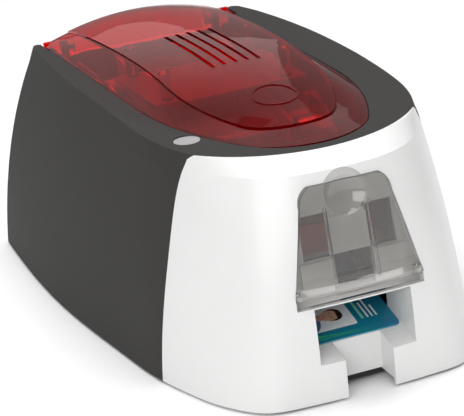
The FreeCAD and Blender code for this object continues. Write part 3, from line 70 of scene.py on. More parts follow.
# Finishes: a few sockets and one or two noises on Object coordinates each.
# The middle of a noise's range is stretched to the whole change of tone or gloss.
noiseRange = {"gloss": (0.3, 0.7), "tone": (0.35, 0.65)}
broadNoise = {"share": 12, "detail": 4}  # so many times larger than the finish's fine grain
hazeDetail = 3


def newMaterial(name):
    material = bpy.data.materials.new(name)
    material.use_nodes = True
    tree = material.node_tree
    return material, tree, tree.nodes["Principled BSDF"]


def noiseOn(tree, vector, scale, detail=2.0):
    noise = tree.nodes.new("ShaderNodeTexNoise")
    noise.inputs["Scale"].default_value = scale
    noise.inputs["Detail"].default_value = detail
    tree.links.new(vector, noise.inputs["Vector"])
    return noise.outputs["Fac"]


def grain(tree, scale, detail=2.0):
    coords = tree.nodes.new("ShaderNodeTexCoord")
    return noiseOn(tree, coords.outputs["Object"], scale, detail)


def tinted(tree, shader, source, look):
    ramp = tree.nodes.new("ShaderNodeValToRGB")
    low, high = ramp.color_ramp.elements
    low.position, high.position = noiseRange["tone"]
    low.color = [c * (1 - look["change"]) for c in look["colour"]] + [1]
    high.color = [min(1, c * (1 + look["change"])) for c in look["colour"]] + [1]
    tree.links.new(source, ramp.inputs["Fac"])
    tree.links.new(ramp.outputs["Color"], shader.inputs["Base Color"])


def roughened(tree, shader, source, look):
    span = tree.nodes.new("ShaderNodeMapRange")
    low, high = noiseRange["gloss"]
    span.inputs["From Min"].default_value = low
    span.inputs["From Max"].default_value = high
    span.inputs["To Min"].default_value = look["rough"] - look["roughChange"]
    span.inputs["To Max"].default_value = look["rough"] + look["roughChange"]
    tree.links.new(source, span.inputs["Value"])
    tree.links.new(span.outputs["Result"], shader.inputs["Roughness"])


def bumped(tree, shader, source, look):
    bump = tree.nodes.new("ShaderNodeBump")
    bump.inputs["Distance"].default_value = look["depth"]
    bump.inputs["Strength"].default_value = look["strength"]
    tree.links.new(source, bump.inputs["Height"])
    tree.links.new(bump.outputs["Normal"], shader.inputs["Normal"])


def moulded(name, look):
    material, tree, shader = newMaterial(name)
    fine = grain(tree, look["grain"])
    broad = grain(tree, look["grain"] / broadNoise["share"], broadNoise["detail"])
    tinted(tree, shader, broad, look)
    roughened(tree, shader, broad, look)
    bumped(tree, shader, fine, look)
    shader.inputs["Metallic"].default_value = look.get("metal", 0)
    shader.inputs["Specular IOR Level"].default_value = look.get("shine", 0.5)
    shader.inputs["Coat Weight"].default_value = look.get("coat", 0)
    shader.inputs["Coat Roughness"].default_value = look.get("coatRough", 0.1)
    return material


def clear(name, look):
    material, tree, shader = newMaterial(name)
    haze = grain(tree, look["grain"], hazeDetail)
    tinted(tree, shader, haze, look)
    roughened(tree, shader, haze, look)
    shader.inputs["Transmission Weight"].default_value = look["through"]
    shader.inputs["IOR"].default_value = look["ior"]
    shader.inputs["Specular Tint"].default_value = (*look.get("tint", (1, 1, 1)), 1)
    return material


looks = {
    "housing": {"colour": (0.043, 0.0415, 0.040), "change": 0.03, "rough": 0.6,
                "roughChange": 0.02, "grain": 1800, "depth": 0.00004, "strength": 0.5,
                "shine": 0.08},
    "white": {"colour": (0.74, 0.74, 0.735), "change": 0.01, "rough": 0.32, "roughChange": 0.03,
              "grain": 300, "depth": 0.00001, "strength": 0.1, "coat": 0.2, "coatRough": 0.22},
    "grey": {"colour": (0.47, 0.463, 0.45), "change": 0.02, "rough": 0.4, "roughChange": 0.05,
             "grain": 1200, "depth": 0.00002, "strength": 0.3},
    # painted shade: the magazine's grey is darkened for the shade it sits in, deep in the bay
    "magazine": {"colour": (0.13, 0.14, 0.14), "change": 0.03, "rough": 0.45, "roughChange": 0.05,
                 "grain": 1200, "depth": 0.00002, "strength": 0.3},
    "rubber": {"colour": (0.02, 0.02, 0.02), "change": 0.1, "rough": 0.75, "roughChange": 0.08,
               "grain": 900, "depth": 0.00003, "strength": 0.5},
    "zinc": {"colour": (0.60, 0.60, 0.58), "change": 0.05, "rough": 0.35, "roughChange": 0.08,
             "grain": 500, "depth": 0.00002, "strength": 0.2, "metal": 1},
    "bush": {"colour": (0.66, 0.64, 0.56), "change": 0.04, "rough": 0.45, "roughChange": 0.05,
             "grain": 900, "depth": 0.00002, "strength": 0.2},
    "tacky": {"colour": (0.05, 0.15, 0.35), "change": 0.06, "rough": 0.3, "roughChange": 0.05,
              "grain": 900, "depth": 0.00002, "strength": 0.2},
    "gear": {"colour": (0.78, 0.76, 0.70), "change": 0.03, "rough": 0.42, "roughChange": 0.05,
             "grain": 900, "depth": 0.00002, "strength": 0.2},
    "brass": {"colour": (0.72, 0.50, 0.20), "change": 0.05, "rough": 0.28, "roughChange": 0.06,
              "grain": 900, "depth": 0.00001, "strength": 0.2, "metal": 1},
    "black": {"colour": (0.022, 0.022, 0.023), "change": 0.06, "rough": 0.5, "roughChange": 0.06,
              "grain": 1400, "depth": 0.00003, "strength": 0.4},
    "spool": {"colour": (0.70, 0.70, 0.68), "change": 0.03, "rough": 0.4, "roughChange": 0.05,
              "grain": 1000, "depth": 0.00002, "strength": 0.2},
    "aluminium": {"colour": (0.66, 0.67, 0.68), "change": 0.04, "rough": 0.38,
                  "roughChange": 0.06, "grain": 800, "depth": 0.00003, "strength": 0.3,
                  "metal": 1},
    "head": {"colour": (0.12, 0.11, 0.10), "change": 0.06, "rough": 0.2, "roughChange": 0.04,
             "grain": 600, "depth": 0.00001, "strength": 0.2},
    "button": {"colour": (0.34, 0.33, 0.33), "change": 0.02, "rough": 0.42, "roughChange": 0.05,
               "grain": 1300, "depth": 0.00002, "strength": 0.3},
    "card": {"colour": (0.05, 0.30, 0.42), "change": 0.03, "rough": 0.22, "roughChange": 0.04,
             "grain": 400, "depth": 0.00001, "strength": 0.1},
}
clearLooks = {
    "lid_red": {"colour": (0.72, 0.002, 0.003), "change": 0.03, "rough": 0.015,
                "roughChange": 0.006, "grain": 30, "through": 0.95, "ior": 1.32,
                "tint": (1.0, 0.30, 0.28)},
    "smoke": {"colour": (0.86, 0.85, 0.83), "change": 0.03, "rough": 0.05, "roughChange": 0.02,
              "grain": 30, "through": 0.92, "ior": 1.46},
    "lens": {"colour": (0.006, 0.006, 0.007), "change": 0.03, "rough": 0.12,
             "roughChange": 0.048, "grain": 60, "through": 0.2, "ior": 1.46},
}
steelLook = {"colour": (0.50, 0.50, 0.51), "change": 0.06, "rough": 0.34, "roughChange": 0.08,
             "grain": 260, "detail": 4, "stretch": (1, 12, 1), "depth": 0.00002,
             "strength": 0.3, "metal": 1}
filmLook = {"tones": [(0.60, 0.44, 0.03), (0.42, 0.02, 0.16), (0.02, 0.20, 0.40),
                      (0.012, 0.012, 0.014), (0.45, 0.46, 0.47)],
            "panel": 62,  # length of one colour along the film, in millimetres
            "rough": 0.22, "roughChange": 0.08, "grain": 500,
            "wave": 60, "stretch": (1, 0.15, 0.15), "depth": 0.0002, "strength": 0.35}
boardLook = {"colour": (0.012, 0.10, 0.045), "second": 0.75, "track": (0.03, 0.20, 0.09),
             "lines": {"Scale": 260, "Mortar Size": 0.06, "Brick Width": 1.7,
                       "Row Height": 0.35},
             "rough": 0.30, "roughChange": 0.08, "grain": 700, "depth": 0.00003,
             "strength": 0.6}

cardTrack = {"start": (0, -79.0, 50.0), "tilt": 15.0}  # the slope of the card and the film


# Object coordinates moved to a centre and turned about X, in millimetres and degrees
def placed(tree, centre=(0, 0, 0), turn=0.0, stretch=(1, 1, 1)):
    coords = tree.nodes.new("ShaderNodeTexCoord")
    spot = tree.nodes.new("ShaderNodeMapping")
    spot.vector_type = "TEXTURE"
    spot.inputs["Location"].default_value = [c / 1000 for c in centre]
    spot.inputs["Rotation"].default_value[0] = math.radians(turn)
    spot.inputs["Scale"].default_value = stretch
    tree.links.new(coords.outputs["Object"], spot.inputs["Vector"])
    return spot.outputs["Vector"]


def socketMath(tree, kind, source, value=None):
    step = tree.nodes.new("ShaderNodeMath")
    step.operation = kind
    tree.links.new(source, step.inputs[0])
    if value is not None:
        step.inputs[1].default_value = value
    return step.outputs["Value"]


# Rolled sheet: fine grain drawn out along one axis
def rolled(name, look):
    material, tree, shader = newMaterial(name)
    streaks = noiseOn(tree, placed(tree, stretch=look["stretch"]), look["grain"], look["detail"])
    tinted(tree, shader, streaks, look)
    roughened(tree, shader, streaks, look)
    bumped(tree, shader, streaks, look)
    shader.inputs["Metallic"].default_value = look["metal"]
    return material


# Dye ribbon: colour panels along the film, seen on the film and on both rolls
def dyeFilm(name, look):
    material, tree, shader = newMaterial(name)
    split = tree.nodes.new("ShaderNodeSeparateXYZ")
    onSlope = placed(tree, cardTrack["start"], cardTrack["tilt"])
    tree.links.new(onSlope, split.inputs["Vector"])
    count = len(look["tones"])
    along = socketMath(tree, "DIVIDE", split.outputs["Y"], look["panel"] * count / 1000)
    ramp = tree.nodes.new("ShaderNodeValToRGB")
    ramp.color_ramp.interpolation = "CONSTANT"
    stops = ramp.color_ramp.elements
    while len(stops) < count:
        stops.new(0.5)
    for index, tone in enumerate(look["tones"]):
        stops[index].position = index / count
        stops[index].color = (*tone, 1)
    tree.links.new(socketMath(tree, "FRACT", along), ramp.inputs["Fac"])
    tree.links.new(ramp.outputs["Color"], shader.inputs["Base Color"])
    roughened(tree, shader, grain(tree, look["grain"], hazeDetail), look)
    bumped(tree, shader, noiseOn(tree, placed(tree, stretch=look["stretch"]), look["wave"]), look)
    return material


# Circuit board: green mask over fine copper lines, with a bump along them
def circuit(name, look):
    material, tree, shader = newMaterial(name)
    lines = tree.nodes.new("ShaderNodeTexBrick")
    for socket, value in look["lines"].items():
        lines.inputs[socket].default_value = value
    lines.inputs["Color1"].default_value = (*look["colour"], 1)
    lines.inputs["Color2"].default_value = (*[c * look["second"] for c in look["colour"]], 1)
    lines.inputs["Mortar"].default_value = (*look["track"], 1)
    tree.links.new(placed(tree), lines.inputs["Vector"])
    tree.links.new(lines.outputs["Color"], shader.inputs["Base Color"])
    roughened(tree, shader, grain(tree, look["grain"]), look)
    bumped(tree, shader, lines.outputs["Fac"], look)
    return material


materials = {name: moulded(name, look) for name, look in looks.items()}
materials.update({name: clear(name, look) for name, look in clearLooks.items()})
materials["steel"] = rolled("steel", steelLook)
materials["film"] = dyeFilm("film", filmLook)
materials["board"] = circuit("board", boardLook)
print("materials made:", len(materials))


# Every solid of the frame keeps its exact normals and takes the material of its slot
slotOf = {entry["node"]: entry["material_slot"] for entry in frame["record"]["subparts"]}
shadedFinish = {"card_magazine": "magazine"}  # painted shade: coloured darker than the bezel in front of it, for the shade deep inside the bay
for node, slot in slotOf.items():
    mesh = frame["nodes"][node].data
    mesh.materials.clear()
    mesh.materials.append(materials[shadedFinish.get(node, slot)])
print("solids dressed:", len(slotOf))


# Pieces: a shape is (vertices, faces); a piece also has its body and a material, the one of its
# slot unless another is given
def newMesh(name, shape):
    mesh = bpy.data.meshes.new(name)
    mesh.from_pydata(shape[0], [], shape[1])
    return mesh


def onBody(item, body):
    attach(item, body)
    return item


def piece(name, shape, body, slot, material=None):
    mesh = newMesh(name, shape)
    mesh.materials.append(material or materials[slot])
    return onBody(added(name, mesh), body)


# Printed side of the card: flat shapes a few hundredths of a millimetre above it.
# Places are measured across the card and back from its front edge, in millimetres.
art = {"thick": 0.76, "long": 85.6, "play": 0.6, "half": 27.0, "layer": 0.012,
       "corner": 3.2, "cornerSteps": 10, "rough": 0.24, "dots": 0.12, "dotGrain": 900,
       "photo": (-20.4, 5.6, 8.9, 33.1, 1.6), "backdrop": (-19.7, 4.9, 9.6, 32.4, 1.2),
       "bars": [(9.0, 10.6, 12.0, 30.0, "mint"), (12.4, 13.4, 12.0, 26.0, "pale"),
                (15.0, 16.0, 12.0, 28.0, "pale"), (17.6, 18.6, 12.0, 22.0, "pale")],
       "discs": [(1, -23.7, 16.6, 2.0, "mint"), (2, -23.7, 16.6, 1.2, "discMiddle"),
                 (1, -23.7, 23.4, 1.2, "pale")],
       "rearBars": [(-24.0, -20.0, 34.0, 60.0, "mint"), (-14.0, -12.6, 36.0, 66.0, "pale"),
                    (-10.0, -8.6, 36.0, 58.0, "pale"), (-6.0, -4.6, 36.0, 50.0, "pale")]}
waves = {"count": 3, "steps": 24, "front": 2.3, "apart": 1.7, "swing": 1.1, "turn": 5.2,
         "wide": 0.95, "half": 26.2}
tones = {"skin": (0.62, 0.37, 0.26), "shade": (0.50, 0.28, 0.19), "hair": (0.035, 0.022, 0.016),
         "iris": (0.03, 0.02, 0.015), "lips": (0.44, 0.14, 0.12), "lipLine": (0.22, 0.06, 0.05),
         "nose": (0.566, 0.3295, 0.2285), "shirt": (0.09, 0.17, 0.28),
         "pale": (0.80, 0.86, 0.88), "mint": (0.20, 0.62, 0.45)}
blends = {"ground": {"from": 27, "to": -27, "tones": ((0.004, 0.10, 0.24), (0.010, 0.26, 0.36)),
                     "front": (0.008, 0.20, 0.30), "fade": 60},
          "wave": {"from": -20, "to": 24, "tones": ((0.03, 0.42, 0.20), (0.01, 0.12, 0.34))},
          "backdrop": {"from": -17, "to": 7, "tones": ((0.74, 0.80, 0.84), (0.88, 0.90, 0.91))}}


def onCard(across, back, layer):
    along = -(art["long"] + art["play"]) + back
    rise = art["thick"] + art["layer"] * (layer + 1)
    tilt = math.radians(cardTrack["tilt"])
    y = cardTrack["start"][1] + along * math.cos(tilt) - rise * math.sin(tilt)
    z = cardTrack["start"][2] + along * math.sin(tilt) + rise * math.cos(tilt)
    return (across / 1000, y / 1000, z / 1000)


def roundedBox(x0, x1, b0, b1, radius, steps=6):
    loop = []
    for cx, cb, start in ((x1 - radius, b1 - radius, 0), (x0 + radius, b1 - radius, 90),
                          (x0 + radius, b0 + radius, 180), (x1 - radius, b0 + radius, 270)):
        for step in range(steps + 1):
            angle = math.radians(start + 90 * step / steps)
            loop.append((cx + radius * math.cos(angle), cb + radius * math.sin(angle)))
    return loop


def oval(across, back, wide, tall, steps=40):
    angles = [2 * math.pi * step / steps for step in range(steps)]
    return [(across + wide * math.cos(a), back + tall * math.sin(a)) for a in angles]


# A smooth closed line through the given points
def blended(points, steps=6):
    loop = []
    count = len(points)
    for index in range(count):
        p0, p1, p2, p3 = [points[(index + k - 1) % count] for k in range(4)]
        for step in range(steps):
            t = step / steps
            loop.append(tuple(0.5 * (2 * b + (c - a) * t + (2 * a - 5 * b + 4 * c - d) * t * t
                                     + (3 * b - a - 3 * c + d) * t ** 3)
                              for a, b, c, d in zip(p0, p1, p2, p3)))
    return loop


def mixed(one, two, share):
    share = min(max(share, 0), 1)
    return tuple(a + (b - a) * share for a, b in zip(one, two))


def toneAt(name, across, back):
    if name in tones:
        return tones[name]
    blend = blends[name]
    share = (across - blend["from"]) / (blend["to"] - blend["from"])
    tone = mixed(*blend["tones"], share)
    return mixed(blend["front"], tone, back / blend["fade"]) if "front" in blend else tone


tones["discMiddle"] = toneAt("ground", -22, 16)  # like the ground beside the disc


def inks():
    material, tree, shader = newMaterial("card_print")
    tone = tree.nodes.new("ShaderNodeAttribute")
    tone.attribute_name = "ink"
    dots = tree.nodes.new("ShaderNodeMixRGB")
    dots.blend_type = "MULTIPLY"
    dots.inputs["Fac"].default_value = art["dots"]
    tree.links.new(tone.outputs["Color"], dots.inputs["Color1"])
    tree.links.new(grain(tree, art["dotGrain"]), dots.inputs["Color2"])
    tree.links.new(dots.outputs["Color"], shader.inputs["Base Color"])
    shader.inputs["Roughness"].default_value = art["rough"]
    return material


# The face looks along the card's width: up on it is +X. Its lines are points (side, up) and
# its ovals (side, up, wide, tall, steps), all in heads.
portrait = {
    "middle": (-6.8, 21.0), "head": 6.4, "cut": -1.98,
    "shoulders": [(-1.62, -1.98), (-1.5, -1.45), (-0.95, -1.12), (-0.38, -0.98),
                  (0.38, -0.98), (0.95, -1.12), (1.5, -1.45), (1.62, -1.98)],
    "neck": [(-0.34, -1.2), (0.34, -1.2), (0.30, -0.5), (-0.30, -0.5)],
    "collar": [(-0.36, -0.98), (0, -1.36), (0.36, -0.98), (0.16, -1.0), (-0.16, -1.0)],
    "crown": [(-0.80, 0.10), (-0.82, 0.62), (-0.50, 1.08), (0, 1.20), (0.50, 1.08),
              (0.82, 0.62), (0.80, 0.10), (0.62, -0.1), (-0.62, -0.1)],
    "cheeks": [(-0.66, 0.30), (-0.50, 0.78), (0, 0.90), (0.50, 0.78), (0.66, 0.30),
               (0.62, -0.28), (0.40, -0.74), (0, -0.92), (-0.40, -0.74), (-0.62, -0.28)],
    "fringe": [(-0.68, 0.30), (-0.72, 0.72), (-0.36, 1.02), (0.1, 1.08), (0.56, 0.92),
               (0.72, 0.62), (0.68, 0.30), (0.56, 0.60), (0.10, 0.66), (-0.30, 0.72),
               (-0.58, 0.58)],
    "brow": [(0.16, 0.20), (0.30, 0.27), (0.48, 0.21), (0.30, 0.22)],
    "lash": [(0.15, 0.05), (0.31, 0.11), (0.47, 0.05), (0.31, 0.088)],
    "nose": [(-0.10, -0.24), (-0.02, 0.12), (0.03, 0.12), (0.10, -0.24), (0.0, -0.30)],
    "lips": [(-0.24, -0.50), (-0.08, -0.46), (0.08, -0.46), (0.24, -0.50), (0.0, -0.58)],
    "lipLine": [(-0.24, -0.495), (0, -0.505), (0.24, -0.495), (0, -0.52)],
    "ear": (0.70, -0.02, 0.10, 0.17, 16),
    "eye": (0.31, 0.04, 0.14, 0.055, 20),
    "iris": (0.31, 0.04, 0.058, 0.055, 14),
}


def onFace(layer, loop, tone):
    size = portrait["head"]
    x, b = portrait["middle"]
    return (layer, [(x + up * size, b - side * size) for side, up in loop], tone)


def faceLine(layer, name, tone, side=1):
    return onFace(layer, blended([(side * s, up) for s, up in portrait[name]]), tone)


def faceOval(layer, name, tone, side):
    s, up, wide, tall, steps = portrait[name]
    return onFace(layer, oval(side * s, up, wide, tall, steps), tone)


def faceShapes():
    shoulders = [(s, max(up, portrait["cut"])) for s, up in blended(portrait["shoulders"])]
    shapes = [onFace(3, shoulders, "shirt"), faceLine(4, "neck", "shade"),
              onFace(4, portrait["collar"], "pale"), faceLine(5, "crown", "hair")]
    shapes += [faceOval(6, "ear", "shade", side) for side in (-1, 1)]
    shapes += [faceLine(7, "cheeks", "skin"), faceLine(8, "fringe", "hair")]
    for side in (-1, 1):
        shapes += [faceLine(8, "brow", "hair", side), faceOval(8, "eye", "pale", side),
                   faceOval(9, "iris", "iris", side), faceLine(10, "lash", "hair", side)]
    return shapes + [faceLine(8, "nose", "nose"), faceLine(8, "lips", "lips"),
                     faceLine(9, "lipLine", "lipLine")]


def waveShapes():
    shapes = []
    steps, edge = waves["steps"], waves["half"]
    for index in range(waves["count"]):
        upper = [(-art["half"] + 2 * art["half"] * k / steps,
                  waves["front"] + index * waves["apart"]
                  + waves["swing"] * math.sin(k / steps * waves["turn"] + index))
                 for k in range(steps + 1)]
        lower = [(x, b - waves["wide"]) for x, b in reversed(upper)]
        shapes.append((1, [(max(min(x, edge), -edge), b) for x, b in upper + lower], "wave"))
    return shapes


def barShapes(bars):
    return [(1, [(x0, b0), (x1, b0), (x1, b1), (x0, b1)], tone) for x0, x1, b0, b1, tone in bars]


def cardShapes():
    ground = roundedBox(-art["half"], art["half"], 0, art["long"], art["corner"],
                        art["cornerSteps"])
    shapes = [(0, ground, "ground")] + waveShapes()
    shapes.append((1, roundedBox(*art["photo"]), "pale"))
    shapes.append((2, roundedBox(*art["backdrop"]), "backdrop"))
    shapes += faceShapes() + barShapes(art["bars"])
    for layer, across, back, radius, tone in art["discs"]:
        shapes.append((layer, oval(across, back, radius, radius), tone))
    return shapes + barShapes(art["rearBars"])


# Each shape is (layer, outline, tone), and the tones go into the colour attribute "ink"
def printCard(shapes):
    vertices = []
    faces = []
    inked = []
    for layer, loop, tone in shapes:
        flat = [onCard(across, back, layer) for across, back in loop]
        face = list(range(len(vertices), len(vertices) + len(flat)))
        area = sum(a[0] * b[1] - a[1] * b[0] for a, b in zip(flat, flat[1:] + flat[:1]))
        faces.append(face if area > 0 else face[::-1])
        vertices += flat
        inked += [(*toneAt(tone, across, back), 1) for across, back in loop]
    item = piece("card_print", (vertices, faces), "card", "card", inks())
    ink = item.data.color_attributes.new("ink", "FLOAT_COLOR", "POINT")
    for place, tone in enumerate(inked):
        ink.data[place].color = tone
    print("card printed:", len(shapes), "shapes")


printCard(cardShapes())


# Shapes in millimetres: a profile is rings of (along, radius) turned about an axis
def turned(profile, sides, place, axis):
    turn = Vector((0, 0, 1)).rotation_difference(Vector(axis)).to_matrix()
    vertices = []
    for along, radius in profile:
        for side in range(sides):
            angle = 2 * math.pi * side / sides
            local = Vector((radius * math.cos(angle), radius * math.sin(angle), along))
            vertices.append(tuple((turn @ local + Vector(place)) / 1000))
    return vertices


def sleeve(rings, sides):
    faces = []
    for first in range(0, (rings - 1) * sides, sides):
        for side in range(sides):
            a = first + side
            b = first + (side + 1) % sides
            faces.append((a, b, b + sides, a + sides))
    return faces


def capped(rings, sides):
    last = (rings - 1) * sides
    ends = [tuple(reversed(range(sides))), tuple(range(last, last + sides))]
    return sleeve(rings, sides) + ends


def lathe(profile, sides, place, axis):
    return turned(profile, sides, place, axis), capped(len(profile), sides)


# The last ring of a closed outline joins the first
def ringMesh(outline, sides, place, axis):
    last = (len(outline) - 1) * sides
    after = [(side + 1) % sides for side in range(sides)]
    inside = [(last + side, last + after[side], after[side], side) for side in range(sides)]
    return turned(outline, sides, place, axis), sleeve(len(outline), sides) + inside


def tubeMesh(path, radius, sides):
    vertices = []
    for index, point in enumerate(path):
        ahead = Vector(path[min(index + 1, len(path) - 1)]) - Vector(path[max(index - 1, 0)])
        vertices += turned([(0, radius)], sides, point, ahead.normalized())
    return vertices, capped(len(path), sides)


def joined(shapes):
    vertices = []
    faces = []
    for more, loops in shapes:
        faces += [tuple(index + len(vertices) for index in loop) for loop in loops]
        vertices += more
    return vertices, faces


# Boxes given as pairs of low and high along X, Y and Z
def boxMesh(boxes):
    sides = [(3, 2, 1, 0), (4, 5, 6, 7), (0, 1, 5, 4), (1, 2, 6, 5), (2, 3, 7, 6), (3, 0, 4, 7)]
    return joined([([(x / 1000, y / 1000, z / 1000) for z in (z0, z1)
                     for x, y in ((x0, y0), (x1, y0), (x1, y1), (x0, y1))], sides)
                   for (x0, x1), (y0, y1), (z0, z1) in boxes])


def smoothBy(item, degrees):
    item.data.shade_smooth()
    item.data.set_sharp_from_angle(angle=math.radians(degrees))
    return item


bevel = {"sharp": 35, "profile": 0.6, "smooth": 40}  # edges over the sharp angle are cut


def bevelled(item, width):
    work = bmesh.new()
    work.from_mesh(item.data)
    edges = [edge for edge in work.edges if len(edge.link_faces) == 2
             and edge.calc_face_angle(0) > math.radians(bevel["sharp"])]
    bmesh.ops.bevel(work, geom=edges, offset=width / 1000, segments=1,
                    profile=bevel["profile"], affect="EDGES", clamp_overlap=True)
    work.to_mesh(item.data)
    work.free()
    return smoothBy(item, bevel["smooth"])


def boxOf(node):
    return [[c * 1000 for c in corner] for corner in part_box(node)]


# Repeats by Geometry Nodes: one shape is set on points, made real and painted
def sourceObject(shape):
    return added("source", newMesh("source", shape))


def newTree(name, inputs):
    group = bpy.data.node_groups.new(name, "GeometryNodeTree")
    for way in ("INPUT", "OUTPUT"):
        group.interface.new_socket("Geometry", in_out=way, socket_type="NodeSocketGeometry")
    sockets = {label: group.interface.new_socket(label, in_out="INPUT", socket_type=kind)
               for label, kind in inputs.items()}
    return group, group.nodes.new("NodeGroupInput"), sockets


def addCopies(group, points, shape, material):
    copies = group.nodes.new("GeometryNodeInstanceOnPoints")
    real = group.nodes.new("GeometryNodeRealizeInstances")
    paint = group.nodes.new("GeometryNodeSetMaterial")
    end = group.nodes.new("NodeGroupOutput")
    paint.inputs["Material"].default_value = material
    group.links.new(points, copies.inputs["Points"])
    group.links.new(shape, copies.inputs["Instance"])
    group.links.new(copies.outputs["Instances"], real.inputs["Geometry"])
    group.links.new(real.outputs["Geometry"], paint.inputs["Geometry"])
    group.links.new(paint.outputs["Geometry"], end.inputs["Geometry"])
    return copies


def madeReal(name, carrier, group, sockets, values):
    modifier = carrier.modifiers.new(name, "NODES")
    modifier.node_group = group
    for label, value in values.items():
        modifier[sockets[label].identifier] = value
    graph = bpy.context.evaluated_depsgraph_get()
    mesh = bpy.data.meshes.new_from_object(carrier.evaluated_get(graph), depsgraph=graph)
    carrier.modifiers.remove(modifier)
    bpy.data.objects.remove(carrier)
    return mesh


# A grid of copies about its middle
def setOnGrid(name, source, counts, pitch, middle, body, slot):
    group, start, sockets = newTree(name, {
        "Count X": "NodeSocketInt", "Count Y": "NodeSocketInt", "Size X": "NodeSocketFloat",
        "Size Y": "NodeSocketFloat", "Middle": "NodeSocketVector"})
    grid = group.nodes.new("GeometryNodeMeshGrid")
    points = group.nodes.new("GeometryNodeMeshToPoints")
    move = group.nodes.new("GeometryNodeSetPosition")
    for axis in ("X", "Y"):
        group.links.new(start.outputs["Count " + axis], grid.inputs["Vertices " + axis])
        group.links.new(start.outputs["Size " + axis], grid.inputs["Size " + axis])
    group.links.new(grid.outputs["Mesh"], points.inputs["Mesh"])
    group.links.new(points.outputs["Points"], move.inputs["Geometry"])
    group.links.new(start.outputs["Middle"], move.inputs["Offset"])
    addCopies(group, move.outputs["Geometry"], start.outputs["Geometry"], materials[slot])
    values = {"Middle": [c / 1000 for c in middle]}
    for axis, count, step in zip(("X", "Y"), counts, pitch):
        values["Count " + axis] = count
        values["Size " + axis] = step * (count - 1) / 1000
    return onBody(added(name, madeReal(name, source, group, sockets, values)), body)


# Copies at given places, each turned by the spin of its point
def setOnPoints(name, source, places, turns, body, slot):
    mesh = newMesh(name + "_places", ([tuple(c / 1000 for c in place) for place in places], []))
    spin = mesh.attributes.new("spin", "FLOAT_VECTOR", "POINT")
    for index, turn in enumerate(turns):
        spin.data[index].vector = turn
    carrier = added(name + "_places", mesh)
    group, start, sockets = newTree(name, {"Shape": "NodeSocketObject"})
    info = group.nodes.new("GeometryNodeObjectInfo")
    spun = group.nodes.new("GeometryNodeInputNamedAttribute")
    spun.data_type = "FLOAT_VECTOR"
    spun.inputs["Name"].default_value = "spin"
    points = group.nodes.new("GeometryNodeMeshToPoints")
    group.links.new(start.outputs["Geometry"], points.inputs["Mesh"])
    group.links.new(start.outputs["Shape"], info.inputs["Object"])
    copies = addCopies(group, points.outputs["Points"], info.outputs["Geometry"],
                       materials[slot])
    group.links.new(spun.outputs["Attribute"], copies.inputs["Rotation"])
    made = madeReal(name, carrier, group, sockets, {"Shape": source})
    bpy.data.objects.remove(source)
    return onBody(added(name, made), body)


# Electronics on the back board: chips with legs, a row of capacitors and a pin header
board = {"top": 24.8}
chips = {"half": (5.0, 4.0), "rise": (0.25, 1.4), "edge": 0.2,
         "legs": 5, "legPitch": 1.9, "legHalf": 0.35, "legReach": (-0.1, 0.8),
         "legRise": (0.05, 0.5), "counts": (4, 2), "pitch": (13.0, 11.0),
         "middle": (52.0, 146.0)}
capacitors = {"radius": 3.2, "tall": 7.5, "sides": 28, "smooth": 40,
              "foot": [(0, 0.96), (0.5, 1), (1.1, 1), (1.4, 0.93), (1.8, 1)],
              "head": [(-0.5, 1), (0, 0.86), (0, 0.55), (-0.2, 0.5)],
              "counts": (3, 1), "pitch": (8.4, 0), "middle": (32.0, 160.0)}
header = {"half": 0.32, "tall": 6.4, "counts": (10, 2), "pitch": (2.0, 2.0),
          "middle": (52.0, 136.6)}


def onBoard(name, source, layout, slot):
    middle = (*layout["middle"], board["top"])
    setOnGrid(name, source, layout["counts"], layout["pitch"], middle, "case", slot)


def chipLegs():
    legs = []
    deep = chips["half"][1]
    for count in range(chips["legs"]):
        x = (count - (chips["legs"] - 1) / 2) * chips["legPitch"]
        for side in (-1, 1):
            reach = sorted(side * (deep + out) for out in chips["legReach"])
            legs.append(((x - chips["legHalf"], x + chips["legHalf"]), reach, chips["legRise"]))
    return legs


# Rings of a can are (height, share of the radius), the head's heights from its top
def canProfile():
    radius, tall = capacitors["radius"], capacitors["tall"]
    foot = [(height, radius * share) for height, share in capacitors["foot"]]
    return foot + [(tall + height, radius * share) for height, share in capacitors["head"]]


def fillBoard():
    wide, deep = chips["half"]
    body = sourceObject(boxMesh([((-wide, wide), (-deep, deep), chips["rise"])]))
    onBoard("chips", bevelled(body, chips["edge"]), chips, "black")
    onBoard("chip_legs", sourceObject(boxMesh(chipLegs())), chips, "zinc")
    can = sourceObject(lathe(canProfile(), capacitors["sides"], (0, 0, 0), (0, 0, 1)))
    onBoard("capacitors", smoothBy(can, capacitors["smooth"]), capacitors, "aluminium")
    half = header["half"]
    pin = sourceObject(boxMesh([((-half, half), (-half, half), (0, header["tall"]))]))
    onBoard("pin_header", pin, header, "brass")
    print("board filled")


fillBoard()


# Motors: a rolled end bell with its bearing boss, and two solder tags.
# Rings of a bell are (out from the motor's end, share of its radius).
motors = {"card": ("card_motor", 1), "feed": ("feed_motor", 1), "ribbon": ("ribbon_motor", -1)}
bell = {"sides": 48, "smooth": 35,
        "rings": [(-0.2, 0.93), (0.5, 0.93), (1.1, 0.86), (1.3, 0.42), (2.4, 0.38),
                  (2.7, 0.33), (2.7, 0.16), (2.2, 0.14)]}
tags = {"from": 0.9, "to": 4.2, "aside": 0.6, "below": 0.3, "half": 1.0, "halfThick": 0.2,
        "edge": 0.1}


